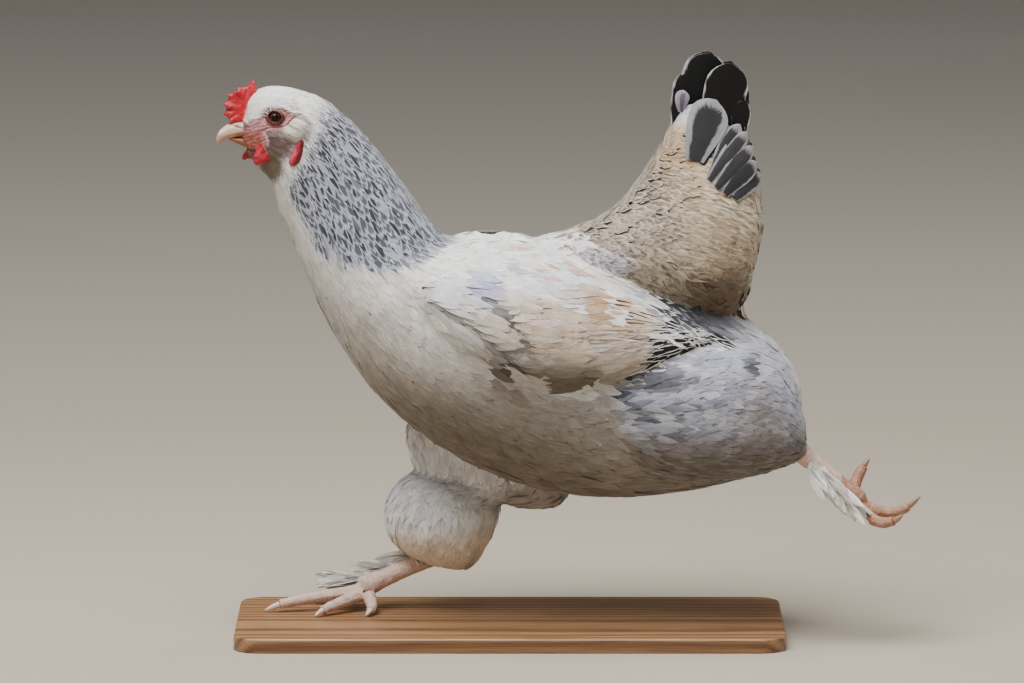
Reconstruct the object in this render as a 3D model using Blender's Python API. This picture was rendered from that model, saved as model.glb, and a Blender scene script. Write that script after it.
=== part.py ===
"""Life-size still model of a running hen, standing by one foot on a plain flat base.

Frame: +Z up, the hen runs towards -X and its left side faces -Y. The origin is the middle of
the base's underside. Flesh and plumage are solids out to the feather tips, parted by thin gaps.
"""
import math

import bmesh
import bpy
import numpy as np

MM = 0.001                 # every size below is in millimetres
GAP = 0.3                  # clearance between neighbouring solids

# ---- driving dimensions -------------------------------------------------------------------
BASE_LENGTH, BASE_WIDTH, BASE_THICK = 450.0, 200.0, 12.0
BASE_CORNER, BASE_BEVEL = 22.0, 2.0
HEAD_TURN = math.radians(7.0)      # the head looks a little towards the hen's left
TURN_START, TURN_END = -120.0, -190.0

# Trunk, neck and head are one loft. Each station: upper point x, z; lower point x, z; half width.
BODY = {
    "bill root":   (-219, 412, -219, 396, 6.0),
    "forehead":    (-214, 429, -214, 386, 10.5),
    "brow":        (-206, 438.5, -209, 379, 15.0),
    "crown":       (-190, 441, -203, 372, 18.5),
    "poll":        (-169, 436.5, -195, 364, 20.5),
    "nape":        (-146, 426, -192, 352, 24.5),
    "upper neck":  (-116, 397, -188, 335, 31.0),
    "mid neck":    (-86, 358, -177, 313, 42.0),
    "low neck":    (-56, 318, -165, 282, 58.0),
    "shoulders":   (-20, 311, -147, 243, 77.0),
    "breast":      (20, 311, -113, 190, 86.0),
    "keel":        (56, 310, -62, 146, 88.0),
    "waist":       (90, 304, -2, 115, 85.0),
    "loin":        (122, 292, 62, 102, 81.0),
    "hip":         (152, 275, 118, 103, 76.0),
    "rump":        (180, 257, 166, 111, 69.0),
    "vent":        (208, 238, 208, 123, 55.0),
    "fluff":       (228, 216, 230, 137, 36.0),
    "fluff end":   (238, 192, 239, 158, 15.0),
}
BODY_CUTS = {"head": ("bill root", "nape"), "neck": ("nape", "low neck"), "breast": ("low neck", "keel"),
             "trunk": ("keel", "hip"), "rump": ("hip", "fluff end")}
RINGS_PER_STATION = 2
BODY_POINTS = 18
BODY_SQUARE = 2.25         # exponent of the superellipse sections, 2 is an ellipse
HEAD_TAPER = 0.22          # how much wider the head is above its middle than below; none by the breast

# Saddle, cushion and tail coverts, in the same terms as the body.
CUSHION = {
    "saddle":      (22, 316, 28, 300, 26.0),
    "saddle mid":  (53, 323, 74, 279, 46.0),
    "rise":        (80, 337, 121, 262, 56.0),
    "swell":       (99, 356, 162, 250, 60.0),
    "widest":      (109, 371, 187, 254, 60.0),
    "under tail":  (117, 384, 198, 287, 55.0),
    "coverts":     (125, 395, 206, 324, 46.0),
    "upper":       (130, 407, 204, 352, 34.0),
    "top":         (137, 420, 199, 378, 22.0),
    "tip":         (146, 430, 193, 402, 12.0),
}
CUSHION_RINGS, CUSHION_POINTS, CUSHION_SQUARE = 13, 16, 2.1

# Folded wing: x; height of upper edge, of lower edge; thickness past the trunk.
WING = ((-74, 290, 274, 4), (-62, 306, 257, 9), (-41, 316, 238, 13), (-8, 318, 214, 15),
        (29, 311, 202, 15), (66, 297, 204, 13), (98, 283, 215, 11), (125, 267, 226, 9),
        (146, 254, 233, 7), (160, 245, 239, 5))
WING_RINGS, WING_COURSES = 12, 7
WING_HALF_LEAST = 26       # the wing's root stands at least this far from the middle
WING_LIP, WING_INSET = 2.0, 6.0    # thickness of its rim outside the trunk, depth set into it

# Legs: upper edge x, z; lower edge x, z; half width; sideways place of the middle.
THIGH_RIGHT = ((-70, 186, 40, 176, 34, 44), (-86, 150, 52, 130, 30, 41), (-80, 121, 46, 92, 25, 40),
               (-76, 113, 22, 84, 17, 39))
DRUM_RIGHT = ((-84, 113, -10, 101, 25, 38), (-96, 103, -9, 92, 33, 38), (-104, 87, -9, 80, 38, 38),
              (-104, 71, -13, 67, 38, 38), (-98, 58, -19, 54, 33, 38), (-87, 48, -27, 42, 24, 38),
              (-72, 40, -37, 34, 13, 38))
THIGH_LEFT = ((66, 200, 76, 160, 14, -58), (86, 220, 94, 140, 30, -54), (112, 230, 120, 127, 39, -52),
              (150, 235, 157, 121, 43, -51), (188, 233, 190, 124, 41, -49), (214, 224, 213, 130, 34, -48),
              (229, 205, 226, 135, 27, -48), (235, 188, 235, 139, 19, -48), (240, 170, 241, 144, 11, -48))
LEG_SQUARE, LEG_RINGS, LEG_POINTS = 2.1, 10, 14

SHANK_RADIUS = 7.4
HOCK_RIGHT, ANKLE_RIGHT = (-52, 38, 50), (-119, 38, 20)
HOCK_LEFT, ANKLE_LEFT = (229, -48, 152), (284, -48, 106)
# Toes: points from the ball of the foot to the claw's root, then the claw's tip.
TOES_RIGHT = {
    "toe_3_right":  (((-126, 37, 16), (-148, 36, 12.5), (-170, 35, 9.5), (-187, 34, 6.5)), (-200, 33, 1.6)),
    "toe_2_right":  (((-124, 33, 13), (-136, 23, 10), (-147, 14, 7), (-154, 8, 5)), (-161, 1, 1.6)),
    "toe_4_right":  (((-125, 43, 13), (-138, 54, 9), (-151, 65, 6.5), (-160, 74, 5)), (-169, 82, 1.6)),
    "hallux_right": (((-117, 30, 13), (-115, 22, 9), (-114, 14, 6.5), (-115, 8, 5)), (-119, 0, 1.6)),
}
TOES_LEFT = {
    "toe_3_left":  (((288, -48, 101), (302, -49, 96), (315, -50, 96), (325, -50, 101)), (335, -50, 110)),
    "toe_2_left":  (((287, -43, 99), (297, -38, 92), (307, -34, 90), (316, -31, 92)), (325, -29, 98)),
    "toe_4_left":  (((286, -53, 99), (295, -60, 92), (304, -65, 90), (312, -69, 92)), (320, -72, 98)),
    "hallux_left": (((279, -42, 110), (282, -37, 118), (286, -34, 126), (289, -32, 131)), (294, -31, 138)),
}
TOE_RADIUS, CLAW_RADIUS = 5.6, 2.9

# Feather tufts on the outer side of each shank, in the same terms.
FOOT_FEATHERS_RIGHT = ((-90, 47, -94, 38, 3, 48), (-110, 45, -115, 28, 6, 51), (-131, 40, -136, 22, 7, 56),
                       (-148, 33, -152, 17, 6, 61), (-163, 23, -164, 15, 2, 65))
FOOT_FEATHERS_LEFT = ((252, 141, 245, 133, 3, -55), (266, 125, 257, 113, 6, -58),
                      (279, 113, 270, 98, 7, -59), (288, 99, 280, 86, 5, -59), (292, 86, 287, 80, 2, -58))

# Long tail feathers of one side: root x, z; tip x, z; half width; front edge's distance from the
# middle. The two sides lean together like a tent.
TAIL = ((150, 392, 160, 470, 18, 2), (163, 388, 181, 460, 17, 5), (170, 382, 188, 446, 13, 8),
        (177, 372, 191, 430, 10, 10))
TAIL_THICK, TAIL_SLOPE = 1.6, 0.35

BEAK_UPPER = ((-208, 413.5, -209, 401, 6.5), (-219, 413.5, -219.5, 400, 6.2),
              (-228.5, 411.8, -228, 398.6, 5.0), (-235.5, 407.6, -234, 397, 3.7),
              (-239.4, 402.6, -237.6, 395, 2.2), (-240.6, 398.6, -239.4, 394.2, 0.9))
BEAK_LOWER = ((-204, 400, -206, 386, 6.4), (-212, 399.6, -212.5, 388.2, 5.8),
              (-219, 398.4, -218.6, 390.8, 4.6), (-224.5, 397.2, -224, 393.4, 2.9),
              (-227.5, 396.4, -227.2, 394.8, 1.2))
BEAK_RINGS, BEAK_POINTS = 7, 10
EYE_CENTRE, EYE_RADIUS = (-193.4, 12.8, 417.2), 6.0

COMB_CENTRE, COMB_VALLEY, COMB_THICK = (-212.4, 422.8), 16.5, 4.6
COMB_TEETH = ((83, 24), (119, 20), (146, 22), (169, 22), (192, 22), (214, 21))     # angle, length
COMB_FOOT = ((48, 11), (234, 16), (268, 10), (330, 8))
# Wattles: top and bottom points, half reach fore and aft, half thickness.
WATTLES = {"left": ((-201, -12.5, 401.5), (-204, -13, 378.5), 8.4, 2.8),
           "right": ((-204, 9.5, 398), (-213.5, 11.5, 380), 7.6, 2.2)}
EAR_LOBE, EAR_LOBE_REACH, EAR_LOBE_THICK = ((-171, 21.5, 403), (-179, 22, 378)), 5.4, 3.4
MUFF_CENTRE, MUFF_HALVES = (-177, 19.5, 407), (11.5, 6.5, 10)


# ---- shape helpers ------------------------------------------------------------------------
def smooth_rows(rows, params):
    """Catmull-Rom curve through rows, read at params, which count the rows from 0."""
    rows = np.asarray(rows, float)
    padded = np.vstack([2 * rows[0] - rows[1], rows, 2 * rows[-1] - rows[-2]])
    index = np.minimum(np.floor(params).astype(int), len(rows) - 2)
    t = (np.asarray(params) - index)[:, None]
    a, b, c, d = (padded[index + k] for k in range(4))
    return 0.5 * (2 * b + (c - a) * t + (2 * a - 5 * b + 4 * c - d) * t**2
                  + (3 * b - a - 3 * c + d) * t**3)


def superellipse(count, power):
    """Unit closed curve as cosine-like and sine-like arrays; power 2 is a circle."""
    angle = np.arange(count) * 2 * math.pi / count
    c, s = np.cos(angle), np.sin(angle)
    return np.sign(c) * abs(c) ** (2 / power), np.sign(s) * abs(s) ** (2 / power)


def paired_rings(stations, count, power):
    """Rings between an upper and a lower point: x, z, x, z, half width, then the sideways place
    of the middle and the taper downwards, which are 0 where a station leaves them out."""
    c, s = superellipse(count, power)
    rings = []
    for station in stations:
        x1, z1, x2, z2, half, side, taper = (*station, 0, 0)[:7]
        ring = np.empty((count, 3))
        ring[:, 0] = (x1 + x2) / 2 + c * (x1 - x2) / 2
        ring[:, 1] = side + s * half * (1 + taper * c)
        ring[:, 2] = (z1 + z2) / 2 + c * (z1 - z2) / 2
        rings.append(ring)
    return rings


def tube_rings(path, radii, count):
    """Round rings of the given radii along a path."""
    path = np.asarray(path, float)
    c, s = superellipse(count, 2)
    tangents = np.gradient(path, axis=0)
    rings = []
    for point, tangent, radius in zip(path, tangents, radii):
        tangent = tangent / np.linalg.norm(tangent)
        across = np.cross(tangent, (0, 0, 1))
        across /= np.linalg.norm(across)
        rise = np.cross(across, tangent)
        rings.append(point + np.outer(c * radius, rise) + np.outer(s * radius, across))
    return rings


def turned(points):
    """Swings what lies ahead of the neck towards the hen's left, growing smoothly along the neck."""
    points = np.asarray(points, float).copy()
    share = np.clip((TURN_START - points[:, 0]) / (TURN_START - TURN_END), 0, 1)
    angle = HEAD_TURN * share * share * (3 - 2 * share)
    x, y = points[:, 0] - TURN_START, points[:, 1].copy()
    points[:, 0] = TURN_START + x * np.cos(angle) - y * np.sin(angle)
    points[:, 1] = x * np.sin(angle) + y * np.cos(angle)
    return points


def placed(points):
    """Millimetres above the base's top turned into metres in the part's own frame."""
    points = turned(points)
    points[:, 2] += BASE_THICK
    return points * MM


def loft(rings):
    """Closed mesh through rings of equal length, with a flat cap at each end."""
    rings = [placed(ring) for ring in rings]
    bm = bmesh.new()
    loops = [[bm.verts.new(p) for p in ring] for ring in rings]
    count = len(loops[0])
    for low, high in zip(loops, loops[1:]):
        for i in range(count):
            j = (i + 1) % count
            bm.faces.new((low[i], low[j], high[j], high[i]))
    bm.faces.new(loops[0][::-1])
    bm.faces.new(loops[-1])
    bmesh.ops.recalc_face_normals(bm, faces=bm.faces)
    return bm


def grown(bm, distance):
    """A copy whose surface stands the given distance outside the first one's."""
    copy = bm.copy()
    copy.normal_update()
    moves = [(v, v.normal * min(v.calc_shell_factor(), 1.5) * distance * MM) for v in copy.verts]
    for vert, move in moves:
        vert.co += move
    return copy


def as_object(bm, name):
    """A new object in the scene with the mesh's faces."""
    mesh = bpy.data.meshes.new(name)
    bm.to_mesh(mesh)
    obj = bpy.data.objects.new(name, mesh)
    bpy.context.scene.collection.objects.link(obj)
    return obj


def largest_body(bm):
    """Welds near points, then deletes every loose body but the one with the most points."""
    bmesh.ops.remove_doubles(bm, verts=bm.verts, dist=2e-6)
    left = set(bm.verts)
    bodies = []
    while left:
        stack, body = [left.pop()], []
        while stack:
            vert = stack.pop()
            body.append(vert)
            for edge in vert.link_edges:
                other = edge.other_vert(vert)
                if other in left:
                    left.remove(other)
                    stack.append(other)
        bodies.append(body)
    bodies.sort(key=len)
    for body in bodies[:-1]:
        bmesh.ops.delete(bm, geom=body, context="VERTS")
    return bm


def subtract(bm, cutter):
    """The mesh less the cutter, by an exact Boolean on throwaway objects."""
    target, tool = as_object(bm, "target"), as_object(cutter, "tool")
    boolean = target.modifiers.new("cut", "BOOLEAN")
    boolean.operation, boolean.solver, boolean.object = "DIFFERENCE", "EXACT", tool
    evaluated = target.evaluated_get(bpy.context.evaluated_depsgraph_get())
    result = bmesh.new()
    result.from_mesh(evaluated.to_mesh())
    for obj in (target, tool):
        bpy.data.objects.remove(obj)
    bmesh.ops.dissolve_degenerate(result, edges=result.edges, dist=5e-6)
    return largest_body(result)


def is_sound(bm, limit):
    """True for a closed mesh that has some volume, but no more than the limit."""
    closed = all(len(edge.link_faces) == 2 for edge in bm.edges)
    return closed and 0 < bm.calc_volume() <= limit


def cut(bm, cutters):
    """The mesh less every cutter grown by the gap, or a little more where that leaves a flaw."""
    bmesh.ops.triangulate(bm, faces=bm.faces)
    for cutter in cutters:
        limit = bm.calc_volume() * 1.0001
        for share in (1.0, 1.2, 1.5, 1.9):
            tool = grown(cutter, GAP * share)
            bmesh.ops.triangulate(tool, faces=tool.faces)
            result = subtract(bm, tool)
            bmesh.ops.triangulate(result, faces=result.faces)
            if is_sound(result, limit):
                break
        bm = result
    return bm


def finish(bm, name, colour, roughness=0.6, metallic=0.0):
    """A named object with its own Principled material, shaded smooth but for hard edges."""
    bmesh.ops.triangulate(bm, faces=bm.faces)
    obj = as_object(bm, name)
    material = bpy.data.materials.new(name)
    material.use_nodes = True
    shader = material.node_tree.nodes["Principled BSDF"]
    shader.inputs["Base Color"].default_value = (*colour, 1)
    shader.inputs["Roughness"].default_value = roughness
    shader.inputs["Metallic"].default_value = metallic
    obj.data.materials.append(material)
    obj.data.shade_smooth()
    obj.data.set_sharp_from_angle(angle=math.radians(40))
    return obj


WHITE, CREAM, BUFF = (0.80, 0.78, 0.76), (0.72, 0.64, 0.52), (0.56, 0.44, 0.30)
BLACK = (0.02, 0.02, 0.025)
RED, HORN, FLESH = (0.60, 0.06, 0.06), (0.62, 0.42, 0.30), (0.72, 0.50, 0.42)
AMBER, OAK = (0.35, 0.10, 0.03), (0.32, 0.20, 0.11)


# ---- base ---------------------------------------------------------------------------------
def build_base():
    """A plain board with rounded corners and a softened upper edge, its underside at z = 0."""
    def outline(inset):
        points = []
        radius = BASE_CORNER - inset
        for quarter, (sx, sy) in enumerate(((1, 1), (-1, 1), (-1, -1), (1, -1))):
            for angle in np.linspace(0, math.pi / 2, 6) + quarter * math.pi / 2:
                points.append((sx * (BASE_LENGTH / 2 - BASE_CORNER) + radius * math.cos(angle),
                               sy * (BASE_WIDTH / 2 - BASE_CORNER) + radius * math.sin(angle)))
        return points
    levels = ((0, 0), (0, BASE_THICK - BASE_BEVEL), (BASE_BEVEL * 0.3, BASE_THICK - BASE_BEVEL * 0.3),
              (BASE_BEVEL, BASE_THICK))
    bm = bmesh.new()
    loops = [[bm.verts.new((x * MM, y * MM, z * MM)) for x, y in outline(inset)] for inset, z in levels]
    for low, high in zip(loops, loops[1:]):
        for i in range(len(low)):
            j = (i + 1) % len(low)
            bm.faces.new((low[i], low[j], high[j], high[i]))
    bm.faces.new(loops[0][::-1])
    bm.faces.new(loops[-1])
    finish(bm, "stand_base", OAK, 0.45)


# ---- trunk, neck and head -----------------------------------------------------------------
def body_rings(start, end, per_station, trim=0.0):
    """Rings from one station to another; trim pulls the two end rings inwards along the body."""
    stations = np.array(list(BODY.values()), float)
    names = list(BODY)
    first, last = names.index(start), names.index(end)
    params = np.linspace(first, last, (last - first) * per_station + 1)
    taper = np.interp(params, (0, names.index("breast")), (HEAD_TAPER, 0))
    rows = np.column_stack([smooth_rows(stations, params), 0 * taper, taper])
    rings = paired_rings(rows, BODY_POINTS, BODY_SQUARE)
    for end_ring, inner, inside in ((rings[0], rings[1], first > 0),
                                    (rings[-1], rings[-2], last < len(names) - 1)):
        if inside and trim:
            quarter, half = end_ring[BODY_POINTS // 4], end_ring[BODY_POINTS // 2]
            along = np.cross(quarter - end_ring[0], half - end_ring[0])
            along /= np.linalg.norm(along)
            along *= np.sign(np.dot(inner.mean(0) - end_ring.mean(0), along))
            end_ring += along * trim
    return rings


def build_body(cutters):
    """The five lengths of the body loft, each less what is set into it."""
    for name, (start, end) in BODY_CUTS.items():
        bm = loft(body_rings(start, end, RINGS_PER_STATION, GAP / 2))
        bm = cut(bm, cutters.get(name, ()))
        finish(bm, name, WHITE)


# ---- wings --------------------------------------------------------------------------------
def trunk_reach(x, z):
    """Half width of the body loft at a place seen from the side, zero outside its outline."""
    stations = np.array(list(BODY.values()), float)
    rows = smooth_rows(stations, np.linspace(6, len(stations) - 1.001, 160))
    centre = np.stack([rows[:, 0] + rows[:, 2], rows[:, 1] + rows[:, 3]], 1) / 2
    axis = np.stack([rows[:, 0] - rows[:, 2], rows[:, 1] - rows[:, 3]], 1) / 2
    half = np.linalg.norm(axis, axis=1)
    axis /= half[:, None]
    away = np.array([x, z]) - centre
    off_plane = abs(away[:, 0] * axis[:, 1] - away[:, 1] * axis[:, 0])
    nearest = np.argmin(off_plane)
    share = min(abs(away[nearest] @ axis[nearest]) / half[nearest], 1)
    return rows[nearest, 4] * (1 - share ** BODY_SQUARE) ** (1 / BODY_SQUARE)


def wing(side):
    """Closed shell whose outer face follows the trunk's flank at the wing's own thickness."""
    rows = smooth_rows(WING, np.linspace(0, len(WING) - 1, WING_RINGS))
    across = np.linspace(0, 1, WING_COURSES)
    rings = []
    for x, top, bottom, thick in rows:
        heights = top + (bottom - top) * across
        reach = np.array([trunk_reach(x, z) for z in heights])
        reach = np.maximum(reach, WING_HALF_LEAST)
        outer = reach + WING_LIP + (thick - WING_LIP) * np.sin(math.pi * across) ** 0.6
        inner = reach - WING_INSET
        ring = [(x, side * y, z) for y, z in zip(outer, heights)]
        ring += [(x, side * y, z) for y, z in zip(inner[::-1], heights[::-1])]
        rings.append(np.array(ring))
    return loft(rings)


# ---- legs ---------------------------------------------------------------------------------
def leg_mass(stations):
    """Loft of a thigh or drumstick with its feathers."""
    rows = smooth_rows(stations, np.linspace(0, len(stations) - 1, LEG_RINGS))
    return loft(paired_rings(rows, LEG_POINTS, LEG_SQUARE))


def shank(hock, ankle):
    """Round shank, thicker at the hock and at the ball of the foot."""
    hock, ankle = np.array(hock, float), np.array(ankle, float)
    shares = np.array([0, 0.12, 0.3, 0.55, 0.8, 0.92, 1.0, 1.07])
    widths = np.array([1.15, 1.2, 1.0, 0.93, 1.0, 1.15, 1.1, 0.75])
    path = hock + (ankle - hock) * shares[:, None]
    return loft(tube_rings(path, SHANK_RADIUS * widths, 12))


def toe_rings(points, on_base):
    """Toe narrowing to the claw, each joint a little swollen, flattened where it rests."""
    params = np.linspace(0, len(points) - 1, 8)
    path = smooth_rows(points, params)
    taper = np.linspace(1.0, 0.68, len(params))
    knuckle = 1 + 0.07 * np.cos(params * 2 * math.pi)
    rings = tube_rings(path, TOE_RADIUS * taper * knuckle, 8)
    if on_base:
        for ring in rings:
            ring[:, 2] = np.maximum(ring[:, 2], GAP)
    return rings


def claw_rings(points, tip, on_base):
    """Curved cone from just past the toe's end to the claw's tip."""
    end, before, tip = np.array(points[-1], float), np.array(points[-2], float), np.array(tip, float)
    along = (end - before) / np.linalg.norm(end - before)
    root = end + along * GAP
    middle = (root + tip) / 2 + along * np.linalg.norm(tip - root) * 0.12
    shares = np.array([0, 0.3, 0.6, 0.85, 1.0])[:, None]
    path = root * (1 - shares) ** 2 + middle * 2 * shares * (1 - shares) + tip * shares**2
    rings = tube_rings(path, CLAW_RADIUS * np.array([1, 0.86, 0.62, 0.36, 0.14]), 6)
    if on_base:
        for ring in rings:
            ring[:, 2] = np.maximum(ring[:, 2], GAP)
    return rings


def build_foot(toes, on_base, shank_mesh):
    """Four toes and their claws; each toe is cut clear of the shank and of the toes before it."""
    done = [shank_mesh]
    for name, (points, tip) in toes.items():
        toe = loft(toe_rings(points, on_base))
        finish(cut(toe.copy(), done), name, FLESH)
        done.append(toe)
        claw = cut(loft(claw_rings(points, tip, on_base)), [toe])
        finish(claw, f"claw_{name}", HORN, 0.35)


# ---- tail ---------------------------------------------------------------------------------
def tail_feather(root_x, root_z, tip_x, tip_z, half, away, side):
    """Blade from root to rounded tip, leaning outwards from the tail's ridge."""
    root, tip = np.array((root_x, root_z), float), np.array((tip_x, tip_z), float)
    along = (tip - root) / np.linalg.norm(tip - root)
    edge = np.array((along[1], -along[0]))
    shares = np.array([-0.35, -0.1, 0.15, 0.4, 0.65, 0.82, 0.93, 0.985])
    widths = np.array([0.55, 0.78, 0.94, 1.0, 0.97, 0.82, 0.55, 0.22])
    rings = []
    for share, width in zip(shares, widths):
        middle = root + (tip - root) * share
        ring = []
        for u, face in ((-1, 0), (-0.5, 1), (0, 1.3), (0.5, 1), (1, 0), (0.5, -1), (0, -1.3), (-0.5, -1)):
            x, z = middle + edge * half * width * u
            y = side * (away + TAIL_SLOPE * half * (1 + width * u) + face * TAIL_THICK / 2.6)
            ring.append((x, y, z))
        rings.append(np.array(ring))
    return loft(rings)


# ---- head pieces --------------------------------------------------------------------------
def ball(centre, radius, stretch=(1, 1, 1), rings=6, count=12):
    """Ellipsoid about centre; its poles point sideways."""
    centre, stretch = np.array(centre, float), np.array(stretch, float)
    loops = []
    for angle in np.linspace(0.12, math.pi - 0.12, rings):
        turn = np.arange(count) * 2 * math.pi / count
        unit = np.stack([np.cos(turn) * math.sin(angle), np.full(count, -math.cos(angle)),
                         np.sin(turn) * math.sin(angle)], 1)
        loops.append(centre + unit * radius * stretch)
    return loft(loops)


def comb():
    """Upright plate with a toothed rim: the rim's radius swings between valleys and teeth."""
    angles, lengths = [], []
    teeth = np.array(COMB_TEETH, float)
    for k, (angle, length) in enumerate(teeth):
        angles += [angle]
        lengths += [length]
        if k + 1 < len(teeth):
            angles += [(angle + teeth[k + 1, 0]) / 2]
            lengths += [COMB_VALLEY]
    (first, first_length), *foot = COMB_FOOT
    angles = [first] + angles + [angle for angle, length in foot]
    lengths = [first_length] + lengths + [length for angle, length in foot]
    turn = np.radians(angles)
    rim = np.stack([COMB_CENTRE[0] + np.cos(turn) * lengths, COMB_CENTRE[1] + np.sin(turn) * lengths], 1)
    middle = rim.mean(0)
    rings = []
    for y, share in ((-0.5, 0.80), (-0.36, 0.95), (0, 1.0), (0.36, 0.95), (0.5, 0.80)):
        outline = middle + (rim - middle) * share
        rings.append(np.stack([outline[:, 0], np.full(len(rim), y * COMB_THICK), outline[:, 1]], 1))
    return loft(rings)


def hanging_lobe(top, bottom, reach, thick):
    """Flat drop: x, y, z at its top and bottom, half reach fore and aft, half thickness."""
    top, bottom = np.array(top, float), np.array(bottom, float)
    rings = []
    c, s = superellipse(12, 2)
    for share in (0, 0.18, 0.4, 0.65, 0.85, 0.97):
        full = (0.62 + 0.9 * share) * math.sqrt(max(1 - share**5, 0.0)) / 1.15
        middle = top + (bottom - top) * share
        ring = np.empty((12, 3))
        ring[:, 0] = middle[0] + c * reach * full
        ring[:, 1] = middle[1] + s * thick * full
        ring[:, 2] = middle[2] + c * reach * full * 0.25
        rings.append(ring)
    return loft(rings)


def beak(stations):
    """Loft of one half of the beak, its cut edge hidden in the head."""
    rows = smooth_rows(stations, np.linspace(0, len(stations) - 1, BEAK_RINGS))
    return loft(paired_rings(rows, BEAK_POINTS, 2))


# ---- the whole hen ------------------------------------------------------------------------
def build():
    names = list(BODY)
    body = loft(body_rings(names[0], names[-1], 2))
    wings = {"left": wing(-1), "right": wing(1)}
    upper, lower = beak(BEAK_UPPER), beak(BEAK_LOWER)
    eyes = {"left": ball((EYE_CENTRE[0], -EYE_CENTRE[1], EYE_CENTRE[2]), EYE_RADIUS),
            "right": ball(EYE_CENTRE, EYE_RADIUS)}

    build_base()
    build_body({"head": [upper, lower, eyes["left"], eyes["right"]]})
    finish(cut(upper.copy(), [lower]), "beak_upper", HORN, 0.35)
    finish(lower.copy(), "beak_lower", HORN, 0.35)
    finish(cut(comb(), [body, upper]), "comb", RED, 0.5)
    wattles = {side: hanging_lobe(*WATTLES[side]) for side in WATTLES}
    for side, sign in (("left", -1), ("right", 1)):
        finish(cut(eyes[side], [upper]), f"eye_{side}", AMBER, 0.1)
        finish(cut(wattles[side].copy(), [body, lower]), f"wattle_{side}", RED, 0.5)
        lobe = hanging_lobe(*((x, sign * y, z) for x, y, z in EAR_LOBE), EAR_LOBE_REACH, EAR_LOBE_THICK)
        finish(cut(lobe.copy(), [body]), f"earlobe_{side}", RED, 0.5)
        muff = ball((MUFF_CENTRE[0], sign * MUFF_CENTRE[1], MUFF_CENTRE[2]), 1, MUFF_HALVES)
        finish(cut(muff, [body, lobe]), f"muff_{side}", CREAM)

    for side in wings:
        finish(cut(wings[side].copy(), [body]), f"wing_{side}", CREAM)
    cushion_rows = smooth_rows(list(CUSHION.values()), np.linspace(0, len(CUSHION) - 1, CUSHION_RINGS))
    cushion = loft(paired_rings(cushion_rows, CUSHION_POINTS, CUSHION_SQUARE))
    finish(cut(cushion.copy(), [body, wings["left"], wings["right"]]), "tail_cushion", BUFF)
    for side, sign in (("left", -1), ("right", 1)):
        for number, feather in enumerate(TAIL, 1):
            finish(cut(tail_feather(*feather, sign), [cushion]), f"tail_feather_{side}_{number}", BLACK)

    thighs = {"left": leg_mass(THIGH_LEFT), "right": leg_mass(THIGH_RIGHT)}
    shanks = {"left": shank(HOCK_LEFT, ANKLE_LEFT), "right": shank(HOCK_RIGHT, ANKLE_RIGHT)}
    for side in thighs:
        finish(cut(thighs[side].copy(), [body, wings[side], cushion]), f"thigh_{side}", WHITE)
        finish(cut(shanks[side].copy(), [body, thighs[side]]), f"shank_{side}", FLESH)
        rows = FOOT_FEATHERS_LEFT if side == "left" else FOOT_FEATHERS_RIGHT
        tuft = loft(paired_rings(rows, 8, 2))
        feet = TOES_LEFT if side == "left" else TOES_RIGHT
        toes = [loft(toe_rings(points, side == "right")) for points, tip in feet.values()]
        tuft = cut(tuft, [shanks[side]] + toes)
        finish(tuft, f"foot_feathers_{side}", WHITE)
    finish(cut(leg_mass(DRUM_RIGHT), [body, thighs["right"], shanks["right"]]), "drumstick_right", WHITE)
    build_foot(TOES_RIGHT, True, shanks["right"])
    build_foot(TOES_LEFT, False, shanks["left"])


for old in list(bpy.data.objects):
    bpy.data.objects.remove(old)
build()
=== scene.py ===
"""Looks of the running hen: one skin, feathers as solid vanes, horn, eyes and a display base."""
import math

import bmesh
import bpy
import mathutils
import numpy as np
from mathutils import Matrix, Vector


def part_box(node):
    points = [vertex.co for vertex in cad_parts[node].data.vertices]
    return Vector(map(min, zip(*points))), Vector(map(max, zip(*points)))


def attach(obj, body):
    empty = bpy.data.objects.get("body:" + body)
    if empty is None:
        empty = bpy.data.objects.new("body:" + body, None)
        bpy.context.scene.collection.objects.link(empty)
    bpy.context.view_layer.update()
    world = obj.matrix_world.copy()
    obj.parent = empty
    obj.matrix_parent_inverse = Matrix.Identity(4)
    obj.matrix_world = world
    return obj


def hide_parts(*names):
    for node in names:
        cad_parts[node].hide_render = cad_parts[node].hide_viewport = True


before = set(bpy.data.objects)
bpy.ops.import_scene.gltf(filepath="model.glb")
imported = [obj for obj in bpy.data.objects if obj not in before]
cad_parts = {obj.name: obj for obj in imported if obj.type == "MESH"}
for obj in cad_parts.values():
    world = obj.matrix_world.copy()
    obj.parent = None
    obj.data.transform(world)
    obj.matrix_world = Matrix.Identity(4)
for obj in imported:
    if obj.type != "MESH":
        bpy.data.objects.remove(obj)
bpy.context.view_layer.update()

# ======================================================================================
# Display base
# A board of oiled oak, planed flat, with rounded corners and a softened upper edge.
# The hen's right foot is pegged to its top.
# ======================================================================================
MM = 0.001
BASE_HIGH = np.array(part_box("stand_base")[1]) / MM
TOP = BASE_HIGH[2]                     # height of the board's top, mm
BASE_CORNER, BASE_ROUND, BASE_LOW_ROUND = 22.0, 2.0, 0.6      # radii of its corners and edges, mm
GRAIN_RINGS, GRAIN_STRETCH = 34.0, 0.06


def placed(name, data):
    """A new object in the scene."""
    obj = bpy.data.objects.new(name, data)
    bpy.context.scene.collection.objects.link(obj)
    return obj


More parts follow.
